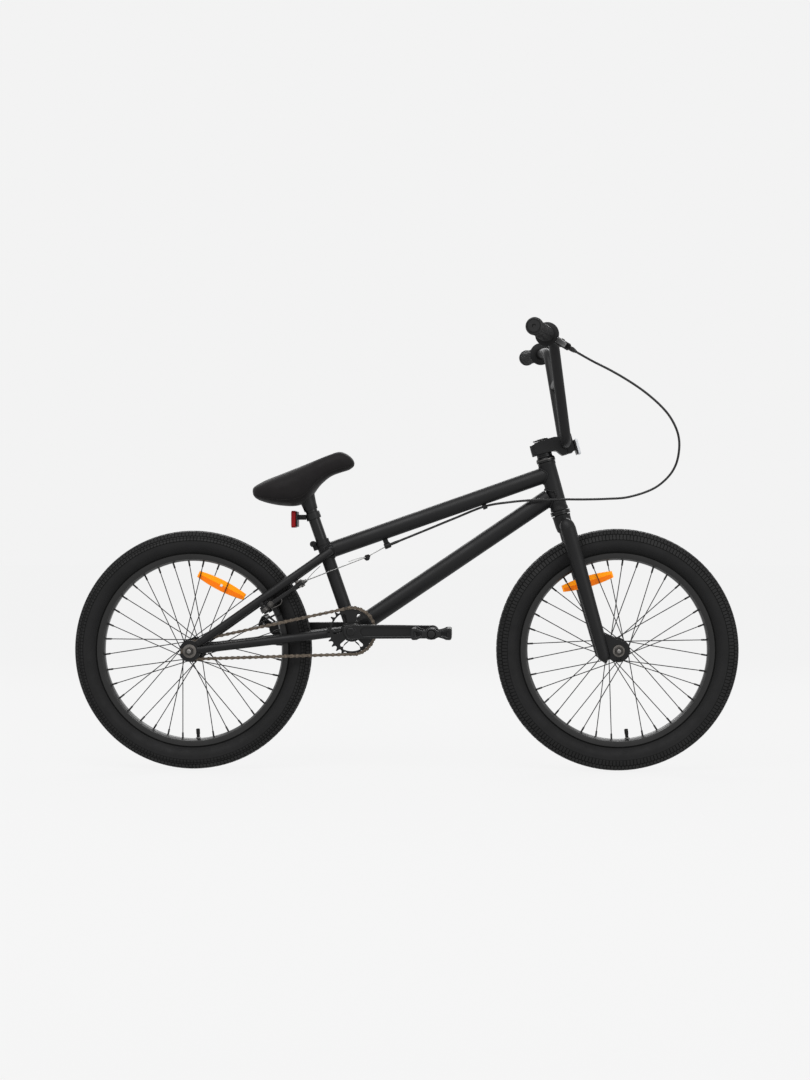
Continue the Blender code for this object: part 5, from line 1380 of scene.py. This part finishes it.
def build_drive():
    """The chain, and the sprocket and the cog with their teeth between its pins."""
    places = build_chain()
    best = min(places, key=lambda p: abs(math.atan2(p.z - BB.z, p.x - BB.x)))
    phase = math.atan2(best.z - BB.z, best.x - BB.x)
    outline = tooth_outline(SPROCKET_TEETH, phase)
    centre = BB + Y * CHAIN_LINE
    disc = pierced(outline, sprocket_holes(), centre, X, Z, Y, 0.0014, 0.0003)
    piece("sprocket_plate", disc, SATIN, "cranks", 0.0, 30, replace="sprocket")
    rear = min(places, key=lambda p: (p - REAR_AXLE).x)
    phase = math.atan2(rear.z - REAR_AXLE.z, rear.x - REAR_AXLE.x)
    cog = pierced(tooth_outline(COG_TEETH, phase), [SPINDLE_HOLE], REAR_AXLE + Y * CHAIN_LINE,
                  X, Z, Y, 0.0014, 0.0002)
    hub = turned(collar(0.0100, 0.0125, -0.0474, -0.0365, 0.0005), REAR_AXLE, Y, 44, loop=True)
    notches = []
    for i in range(4):
        turn = math.pi / 4 + math.pi / 2 * i
        axes = (Vector((math.cos(turn), 0, math.sin(turn))), Y,
                Vector((-math.sin(turn), 0, math.cos(turn))))
        notches.append(block(polar(REAR_AXLE, 0.0122, turn, -0.0462), (0.0010, 0.0014, 0.0022),
                             axes))
    piece("freewheel_cog", join_shapes(cog, hub, *notches), STEEL, "freewheel", 0.0, 30,
          replace="rear_cog")


def tapered_outline(side, start, start_half, end, end_half, steps):
    """Two round ends along x, joined by straight edges; the right side's runs forwards."""
    outline = arc((start, 0), start_half, 90, 270, steps) + arc((end, 0), end_half, -90, 90, steps)
    return [(-side * a, b) for a, b in outline]


def build_cranks():
    """The spindle through the frame, and on each side an arm and its pedal's axle."""
    inner = CRANK_INNER
    outer = CRANK_OUTER
    spindle = [(0.0, -outer - 0.0013), (0.0062, -outer - 0.0013), (0.0066, -outer - 0.0009),
               (0.0066, -outer), (0.0095, -outer), (0.0095, outer), (0.0066, outer),
               (0.0066, outer + 0.0009), (0.0062, outer + 0.0013), (0.0, outer + 0.0013)]
    ends = [bolt_head(BB + Y * (s * 0.0756), Y * s, 0.0086, 0.0034, 0.0044) for s in (-1, 1)]
    piece("crank_spindle_bar", join_shapes(turned(spindle, BB, Y, 40), *ends), SATIN, "cranks",
          replace="crank_spindle")
    for name, side in SIDES:
        out = Y * side
        centre = BB + out * ((inner + outer) / 2)
        outline = tapered_outline(side, 0, 0.0152, CRANK_LENGTH, 0.0140, 16)
        pocket = tapered_outline(side, 0.030, 0.0096, 0.148, 0.0084, 8)
        core = pierced(outline, [], centre - out * 0.0025, X, Z, out, 0.0040, 0.0012)
        rim = pierced(outline, [pocket], BB + out * (outer - 0.0028), X, Z, out, 0.0028, 0.0010)
        start = 0.0470 if side < 0 else 0.0435
        boss = turned([(0.0, start), (0.0180, start), (0.0185, start + 0.0006),
                       (0.0176, inner + 0.001), (0.0150, inner + 0.004), (0.0, inner + 0.004)],
                      BB, out, 44)
        ring = turned([(0.0095, outer - 0.001), (0.0118, outer - 0.001), (0.0118, outer + 0.0004),
                       (0.0112, outer + 0.0008), (0.0095, outer + 0.0008)], BB, out, 44, loop=True)
        pedal_at = BB + X * (-side * CRANK_LENGTH)
        eye = turned([(0.0, inner - 0.0008), (0.0136, inner - 0.0008), (0.0142, inner),
                      (0.0142, outer + 0.0002), (0.0136, outer + 0.0008), (0.0, outer + 0.0008)],
                     pedal_at, out, 44)
        piece(f"crank_{name}", join_shapes(core, rim, boss, ring, eye), SATIN, "cranks", 0.0, 30,
              replace=f"crank_arm_{name}")
        axle = [(0.0, outer + 0.0006), (0.0088, outer + 0.0006), (0.0090, outer + 0.0012),
                (0.0090, outer + 0.0066), (0.0064, outer + 0.0080), (0.0052, 0.0905),
                (0.0045, 0.1700), (0.0, 0.1700)]
        piece(f"pedal_spindle_{name}", turned(axle, pedal_at, out, 32), STEEL, "cranks",
              replace=f"pedal_axle_{name}")


def bow_tie():
    """A pedal's side: tall blunt ends, a thin waist and a round swelling in the middle."""
    quarter = [(0.0420, 0.0040), (0.0412, 0.0108), (0.0385, 0.0122), (0.0300, 0.0118),
               (0.0260, 0.0096), (0.0150, 0.0066), (0.0112, 0.0080), (0.0072, 0.0106),
               (0.0000, 0.0116)]
    upper = quarter + [(-a, b) for a, b in reversed(quarter[:-1])]
    return both_halves(upper)


def build_pedal(name, side):
    """A platform pedal: two bow-tie sides, two edge bars, a middle barrel and short pins."""
    inside = PEDAL_INNER
    outside = PEDAL_OUTER
    body = f"{name}_pedal"
    centre = BB + X * (-side * CRANK_LENGTH)
    tilt = math.radians(24.0) if side > 0 else 0.0
    turn = Quaternion((0, 1, 0), tilt)
    u = turn @ X
    v = turn @ Z
    out = Y * side
    window = both_halves([(0.0200, 0.0040), (0.0330, 0.0062), (0.0372, 0.0055)])
    holes = [[(way * a, b) for a, b in window] for way in (-1, 1)]
    shapes = []
    for low, high in ((inside, inside + 0.0090), (outside - 0.0090, outside)):
        shapes.append(pierced(bow_tie(), holes, centre + out * ((low + high) / 2), u, v, out,
                              (high - low) / 2, 0.0008))
    bar = both_halves([(0.0330, 0.0116), (0.0400, 0.0116), (0.0418, 0.0100)])
    for way in (-1, 1):
        outline = [(way * a, b) for a, b in bar]
        shapes.append(plate(outline, centre, u, v, out, inside + 0.002, outside - 0.002))
        shapes.append(block(centre + u * (way * 0.0220) + out * 0.1345, (0.0125, 0.0034, 0.0052),
                            (u, Y, v)))
    shapes.append(turned([(0.0, inside - 0.0002), (0.0098, inside), (0.0106, inside + 0.0010),
                          (0.0106, inside + 0.012), (0.0088, inside + 0.016),
                          (0.0088, outside - 0.016), (0.0106, outside - 0.012),
                          (0.0106, outside - 0.0010), (0.0098, outside), (0.0, outside)],
                         centre, out, 40))
    piece(f"pedal_body_{name}", join_shapes(*shapes), PLASTIC, body, 0.0005, 35,
          replace=f"pedal_{name}")
    pins = []
    for way in (-1, 1):
        for place in (0.0965, 0.1120, 0.1345, 0.1570, 0.1725):
            for up in (-1, 1):
                foot = centre + u * (way * 0.0375) + v * (up * 0.0112) + out * place
                pins.append(turned([(0.0, 0.0), (0.0022, 0.0), (0.0022, 0.0026), (0.0016, 0.0034),
                                    (0.0, 0.0034)], foot, v * up, 14))
    cap = turned([(0.0, outside - 0.0002), (0.0078, outside - 0.0002), (0.0078, outside + 0.0006),
                  (0.0060, outside + 0.0012), (0.0, outside + 0.0013)], centre, out, 32)
    piece(f"pedal_pins_{name}", join_shapes(*pins, cap), PLASTIC, body, 0.0, 30)


# ---------------------------------------------------------------- brake
def arm_point(along, under=0.0, y=0.0):
    """A place on the left brake arm, measured up the stay from its pivot."""
    return BRAKE_PIVOT + STAY_UP * along + STAY_UNDER * under + Y * y


ARM_LENGTH = 0.100
ARM_LEAN = -0.0120
PAD_ALONG = 0.0165


def brake_arm_shape():
    """The left arm, with a boss round its pivot."""
    # Each station is (distance from the pivot, share of the lean, half width, half thickness).
    stations = ((-0.0080, 0.0, 0.0040, 0.0048), (-0.0050, 0.0, 0.0052, 0.0058),
                (0.0150, 0.10, 0.0054, 0.0058), (0.0300, 0.30, 0.0050, 0.0052),
                (0.0650, 0.64, 0.0042, 0.0046), (ARM_LENGTH - 0.004, 0.97, 0.0036, 0.0041),
                (ARM_LENGTH, 1.0, 0.0028, 0.0032))
    rings = []
    for along, share, half_y, half_under in stations:
        centre = arm_point(along, 0.0, ARM_LEAN * share)
        rings.append([centre + Y * (i * half_y) + STAY_UNDER * (j * half_under)
                      for i, j in ((-1, -0.6), (-0.6, -1), (0.6, -1), (1, -0.6), (1, 0.6),
                                   (0.6, 1), (-0.6, 1), (-1, 0.6))])
    boss = turned(collar(0.0, 0.0088, -0.0066, 0.0066, 0.0006), arm_point(0), STAY_UNDER, 36)
    return join_shapes(bridge_rings(rings), boss)


def brake_pad_shapes():
    """The rubber block that faces the rim, the shoe behind it and the shoe's bolt."""
    pad_centre = arm_point(PAD_ALONG)
    radial = Vector((pad_centre.x - REAR_AXLE.x, 0, pad_centre.z - REAR_AXLE.z)).normalized()
    tangent = Vector((-radial.z, 0, radial.x))
    spot = REAR_AXLE + radial * 0.2008
    rubber_block = plate(rounded_box(0.0300, 0.0052, 0.0022), spot, tangent, radial, Y, 0.0191,
                         0.0225)
    shoe = plate(rounded_box(0.0285, 0.0046, 0.0022), spot, tangent, radial, Y, 0.0222, 0.0268)
    bolt_inner = Vector((pad_centre.x, 0.0250, pad_centre.z))
    bolt_outer = Vector((pad_centre.x, pad_centre.y + 0.0085, pad_centre.z))
    shaft = tube([bolt_inner, bolt_outer], 0.0028, 16)
    washer_y = pad_centre.y + ARM_LEAN * PAD_ALONG / ARM_LENGTH + 0.0056
    nut = hex_nut(Vector((pad_centre.x, washer_y, pad_centre.z)), Y, 0.0098, 0.0032, 0.003, 0.001,
                  0.0064)
    return rubber_block, shoe, join_shapes(shaft, nut)


def brake_arm_hardware():
    """The clamp bolt at the arm's end, with the wire's tail, and the return spring at the pivot."""
    tip = arm_point(ARM_LENGTH - 0.0105, -0.0042, ARM_LEAN * 0.9)
    clamp = join_shapes(hex_nut(tip, STAY_UNDER * -1.0, 0.0092, 0.0042, 0.002, 0.0010, 0.0062),
                        bolt_head(arm_point(ARM_LENGTH - 0.0105, 0.0038, ARM_LEAN * 0.9),
                                  STAY_UNDER, 0.0050, 0.0036, 0.0022))
    barrel = turned([(0.0, 0.0), (0.0036, 0.0), (0.0036, 0.0030), (0.0028, 0.0034),
                     (0.0036, 0.0038), (0.0036, 0.0085), (0.0020, 0.0095), (0.0, 0.0095)],
                    arm_point(ARM_LENGTH - 0.0060, 0.0, ARM_LEAN), STAY_UP, 20)
    bent = [arm_point(0.0125, 0.0072, 0.0020), arm_point(0.0200, 0.0105, 0.0015),
            arm_point(0.0330, 0.0120, 0.0), arm_point(0.0400, 0.0080, -0.0010),
            arm_point(0.0410, 0.0030, -0.0015)]
    spring = tube(smooth_path(bent, 30), 0.0010, 12)
    coil = []
    for i in range(97):
        turn = 2 * math.pi * i / 24
        coil.append(arm_point(0.0098 * math.cos(turn), 0.0070 - 0.0085 * i / 96,
                              0.0098 * math.sin(turn)))
    return join_shapes(clamp, barrel, spring, tube(coil, 0.0009, 10))


def build_brake_arms():
    rubber_block, shoe, hardware = brake_pad_shapes()
    hardware = join_shapes(hardware, brake_arm_hardware())
    arm = brake_arm_shape()
    for name, side in SIDES:
        place = mirrored if side < 0 else (lambda shape: shape)
        body = f"{name}_brake_arm"
        piece(f"brake_arm_bar_{name}", place(arm), SATIN, body, 0.0005, 35,
              replace=f"brake_arm_{name}")
        piece(f"brake_block_{name}", place(rubber_block), PAD, body, 0.0004, 35,
              replace=f"brake_pad_{name}")
        piece(f"brake_shoe_{name}", place(shoe), SATIN, body, 0.0006, 35)
        piece(f"brake_bolt_{name}", place(hardware), STEEL, body, 0.0002, 30)


def pulley_yoke(centre):
    """The small grooved wheel and its two cheeks that carry the straddle wire."""
    wheel_shape = turned([(0.0, -0.0020), (0.0062, -0.0020), (0.0046, 0.0), (0.0062, 0.0020),
                          (0.0, 0.0020)], centre - Z * 0.002, Y, 28)
    outline = [(-0.0060, -0.0045), (0.0000, -0.0068), (0.0055, -0.0040), (0.0075, 0.0030),
               (0.0030, 0.0058), (-0.0040, 0.0040)]
    cheeks = [plate(outline, centre, X, Z, Y, a, b) for a, b in ((-0.0040, -0.0026),
                                                                (0.0026, 0.0040))]
    bolt = bolt_head(centre - Y * 0.0038 - Z * 0.002, Y * -1.0, 0.0030, 0.0018, 0.0014)
    return join_shapes(wheel_shape, *cheeks, bolt)


def build_brake_wire():
    """The wire from the stop to its yoke, the straddle wire to both arms and two loose ends."""
    yoke = CABLE_STOP + Vector((-0.0446, 0.0, -0.0246))
    start = CABLE_STOP + CABLE_ALONG * 0.0010
    shapes = [tube([start, yoke], 0.0010, 12)]
    end = arm_point(ARM_LENGTH + 0.0012, 0.0, ARM_LEAN)
    shapes.append(both_sides(tube([yoke + Y * 0.004, end], 0.0010, 12)))
    tail = [end + STAY_UP * 0.002, end + STAY_UP * 0.020 + Z * 0.004 - STAY_UNDER * 0.002,
            end + STAY_UP * 0.038 + Z * 0.010]
    shapes.append(tube(smooth_path(tail, 16), 0.0007, 8))
    loose = [yoke - X * 0.004, yoke + Vector((-0.022, -0.004, -0.004)),
             yoke + Vector((-0.040, -0.008, -0.0105))]
    shapes.append(tube(smooth_path(loose, 16), 0.0007, 8))
    piece("brake_yoke", pulley_yoke(yoke), SATIN, "frame", 0.0003, 30)
    piece("brake_wires", join_shapes(*shapes), BRIGHT, "frame", 0.0002, 30, replace="brake_wire")


# The housing's route: it leaves the lever, swings ahead of the bars, passes the right side of
# the head tube and runs under the top tube to the cable stop.
HOUSING_ROUTE = (
    lever_point(0.0567, -0.0294), lever_point(0.0655, -0.0400), Vector((0.3995, -0.150, 0.8724)),
    Vector((0.4381, -0.130, 0.8548)), Vector((0.4778, -0.112, 0.8334)),
    Vector((0.5140, -0.096, 0.8100)), Vector((0.5471, -0.082, 0.7825)),
    Vector((0.5690, -0.072, 0.7567)), Vector((0.5840, -0.062, 0.7254)),
    Vector((0.5873, -0.055, 0.6936)), Vector((0.5802, -0.048, 0.6585)),
    Vector((0.5610, -0.043, 0.6300)), Vector((0.5292, -0.039, 0.6069)),
    Vector((0.4796, -0.036, 0.5911)), Vector((0.4333, -0.034, 0.5875)),
    Vector((0.3905, -0.032, 0.5864)), Vector((0.3477, -0.031, 0.5865)),
    Vector((0.3122, -0.029, 0.5862)), Vector((0.2766, -0.022, 0.5851)),
    Vector((0.2266, -0.009, 0.5808)), CABLE_GUIDE, Vector((0.1050, 0.0, 0.5450)),
    Vector((0.0350, 0.0, 0.5163)), CABLE_STOP + CABLE_ALONG * 0.0007,
)


def build_housing():
    """The cable's housing with a ferrule at each end, as one fixed piece that rides on no body."""
    path = smooth_path(HOUSING_ROUTE, 260)
    radii = [0.0032 if i < 7 or i > 255 else 0.0025 for i in range(len(path))]
    sleeve_piece = piece("brake_housing_sleeve", tube(path, radii, 20), CABLE, None, angle=50,
                         replace="brake_housing")
    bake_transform(sleeve_piece)


# ---------------------------------------------------------------- seat
SADDLE_SLOPE = math.radians(22.4)
# Each station is (x, height of the top, height of the skirt, half width), from tail to nose.
SADDLE_STATIONS = (
    (-0.3300, 0.6125, 0.6005, 0.026), (-0.3240, 0.6170, 0.5890, 0.046),
    (-0.3020, 0.6275, 0.5800, 0.061), (-0.2700, 0.6400, 0.5740, 0.068),
    (-0.2360, 0.6535, 0.5742, 0.066), (-0.2090, 0.6645, 0.5880, 0.054),
    (-0.1880, 0.6735, 0.6160, 0.041), (-0.1640, 0.6830, 0.6370, 0.032),
    (-0.1400, 0.6900, 0.6465, 0.028), (-0.1190, 0.6815, 0.6525, 0.023),
    (-0.1085, 0.6680, 0.6580, 0.012),
)


def saddle_section(x, top, low, half_width):
    """One cross-section, a hair inside the station: a round top and a flatter underside."""
    inset = 0.0004
    middle_z = (top + low) / 2
    half_z = (top - low) / 2 - inset
    ring = []
    for j in range(64):
        turn = 2 * math.pi * j / 64
        c = math.cos(turn)
        s = math.sin(turn)
        across = math.copysign(abs(c) ** 0.70, c) * (half_width - inset)
        power = 0.85 if s > 0 else 0.55
        up = math.copysign(abs(s) ** power, s) * half_z
        ring.append(Vector((x, across, middle_z + up)))
    return ring


def build_saddle():
    """The cushion with its cover and piping, and the base under it."""
    keys = [Vector(station[:3]) for station in SADDLE_STATIONS]
    widths = [Vector((station[3], 0, 0)) for station in SADDLE_STATIONS]
    rings = [saddle_section(*place, width.x)
             for place, width in zip(smooth_path(keys, 72), smooth_path(widths, 72))]
    cover = piece("saddle_cushion", bridge_rings(rings), FABRIC, None, replace="saddle_cover")
    relax_cloth(cover)
    seam = saddle_seam(cover, keys, widths)
    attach(cover, "seat")
    piece("saddle_piping", loop_tube(seam, [0.0010] * len(seam), 10), FABRIC, "seat", angle=60)
    build_saddle_base()


def saddle_seam(cover, keys, widths):
    """The line of the piping round the cushion's lower edge, laid on its relaxed surface."""
    seam = []
    steps = 60
    for side in (-1, 1):
        run = []
        for i in range(steps + 1):
            t = 0.06 + 0.86 * i / steps
            place = smooth_values(keys, t)
            width = smooth_values(widths, t).x
            low = place.z + (place.y - place.z) * 0.10
            guess = Vector((place.x, side * width, low))
            found, spot, normal, _ = cover.closest_point_on_mesh(guess)
            run.append(spot + normal * 0.0001 if found else guess)
        seam += run if side < 0 else list(reversed(run))
    return seam


def build_saddle_base():
    """The socket on the seat post, which widens up into the saddle's pan."""
    socket = tube([on_seat_tube(d) for d in (0.276, 0.2775, 0.290, 0.300, 0.318)],
                  [0.0143, 0.0150, 0.0160, 0.0175, 0.0205], 40)
    spine = Vector((math.cos(SADDLE_SLOPE), 0, math.sin(SADDLE_SLOPE)))
    normal = Vector((-spine.z, 0, spine.x))
    pan = block(on_seat_tube(0.312) - spine * 0.020 + normal * 0.010, (0.030, 0.017, 0.009),
                (spine, Y, normal))
    piece("saddle_shell", join_shapes(socket, pan), PLASTIC, "seat", 0.0, 40,
          replace="saddle_base")


CLOTH_VOXEL = 0.0045
CLOTH_FRAMES = 20
CLOTH_REACH = 0.0016


def settings_for_cover(modifier):
    """A stiff fabric with no weight, blown up a little from inside."""
    settings = modifier.settings
    settings.quality = 6
    settings.mass = 0.25
    settings.tension_stiffness = 25
    settings.compression_stiffness = 25
    settings.shear_stiffness = 12
    settings.bending_stiffness = 1.5
    settings.use_pressure = True
    settings.uniform_pressure_force = 4.0
    settings.effector_weights.gravity = 0.0
    modifier.point_cache.frame_start = 1
    modifier.point_cache.frame_end = CLOTH_FRAMES


def relax_cloth(cover):
    """Lets the cover fill out over its padding under light inner pressure, then smooths it."""
    remesh = cover.modifiers.new("Remesh", "REMESH")
    remesh.mode = "VOXEL"
    remesh.voxel_size = CLOTH_VOXEL
    remesh.use_smooth_shade = True
    apply_modifiers(cover)
    rest = [v.co.copy() for v in cover.data.vertices]
    settings_for_cover(cover.modifiers.new("Cloth", "CLOTH"))
    for number in range(1, CLOTH_FRAMES + 1):
        bpy.context.scene.frame_set(number)
    apply_modifiers(cover)
    bpy.context.scene.frame_set(1)
    for vertex, before in zip(cover.data.vertices, rest):
        move = vertex.co - before
        if move.length > CLOTH_REACH:
            move *= CLOTH_REACH / move.length
        vertex.co = before + move
    smooth = cover.modifiers.new("Smooth", "SMOOTH")
    smooth.factor = 0.5
    smooth.iterations = 4
    soften = cover.modifiers.new("Subdivision", "SUBSURF")
    soften.levels = 1
    soften.render_levels = 1
    apply_modifiers(cover)
    for polygon in cover.data.polygons:
        polygon.use_smooth = True


def apply_modifiers(obj):
    """Keeps the evaluated mesh and drops the modifiers that made it."""
    bpy.context.view_layer.update()
    graph = bpy.context.evaluated_depsgraph_get()
    made = bpy.data.meshes.new_from_object(obj.evaluated_get(graph))
    obj.modifiers.clear()
    obj.data = made


def build_post():
    bore = POST_RADIUS - 0.002
    low, high = 0.090, 0.312
    profile = [(POST_RADIUS, low), (POST_RADIUS, high), (bore, high), (bore, low)]
    piece("seat_post_tube", turned(profile, BB, SEAT_UP, 48, loop=True), SATIN, "seat",
          replace="seat_post")


# ---------------------------------------------------------------- studio
def build_studio():
    """A pale floor and a backdrop of the same tone, both lit evenly."""
    tone = (0.896, 0.896, 0.896)
    floor_look, _, shader = new_material("studio_floor", (0.03, 0.03, 0.03), 0.9, specular=0.0)
    shader.inputs["Emission Color"].default_value = (*tone, 1.0)
    shader.inputs["Emission Strength"].default_value = 0.965
    bpy.ops.mesh.primitive_plane_add(size=60, location=(0, 0, -0.0005))
    floor = bpy.context.object
    floor.name = "studio_floor"
    floor.data.materials.append(floor_look)
    world = bpy.data.worlds.new("studio")
    bpy.context.scene.world = world
    world.use_nodes = True
    background = world.node_tree.nodes["Background"]
    background.inputs["Color"].default_value = (*tone, 1.0)
    background.inputs["Strength"].default_value = 1.0


def add_area(name, place, aim, size, power):
    """A rectangular lamp at a place, turned towards its aim."""
    data = bpy.data.lights.new(name, "AREA")
    data.shape = "RECTANGLE"
    data.size = size[0]
    data.size_y = size[1]
    data.energy = power
    obj = bpy.data.objects.new(name, data)
    obj.location = place
    obj.rotation_euler = (Vector(aim) - Vector(place)).to_track_quat("-Z", "Y").to_euler()
    bpy.context.scene.collection.objects.link(obj)


CAMERA_PLACE = Vector((0.17, -4.4, 0.51))
CAMERA_AIM = Vector((0.0, 0.0, 0.499))
CAMERA_LENS = 67.6


def build_lights_and_camera():
    """Three lamps, and the photo's camera."""
    add_area("key", (-0.6, -2.2, 3.0), (0, 0, 0.45), (3.2, 1.6), 95)
    add_area("fill", (2.6, -2.4, 1.4), (0, 0, 0.5), (2.0, 2.0), 32)
    add_area("rim", (0.0, 2.6, 2.2), (0, 0, 0.5), (3.0, 1.2), 60)
    data = bpy.data.cameras.new("photo_view")
    data.sensor_fit = "VERTICAL"
    data.sensor_height = 36
    data.lens = CAMERA_LENS
    camera = bpy.data.objects.new("photo_view", data)
    bpy.context.scene.collection.objects.link(camera)
    camera.location = CAMERA_PLACE
    camera.rotation_euler = (CAMERA_AIM - CAMERA_PLACE).to_track_quat("-Z", "Y").to_euler()
    bpy.context.scene.camera = camera
    bpy.context.scene.view_settings.view_transform = "Standard"


def main():
    build_frame()
    build_headset()
    build_fork()
    build_handlebar()
    build_stem()
    build_grips()
    build_lever()
    build_front_reflector()
    build_rear_reflector()
    build_wheel("front", FRONT_AXLE)
    build_wheel("rear", REAR_AXLE)
    build_axle("front", FRONT_AXLE, 0.0048, FRONT_PLATE, (0.0405, 0.0405), "steering")
    build_axle("rear", REAR_AXLE, 0.0050, REAR_PLATE, (0.0492, 0.0455), "frame")
    build_drive()
    build_cranks()
    for name, side in SIDES:
        build_pedal(name, side)
    build_brake_arms()
    build_brake_wire()
    build_housing()
    build_saddle()
    build_post()
    for name, _ in SIDES:
        bearing = frame["nodes"][f"bottom_bracket_bearing_{name}"]
        bearing.data.materials.clear()
        bearing.data.materials.append(STEEL)
    build_studio()
    build_lights_and_camera()


main()
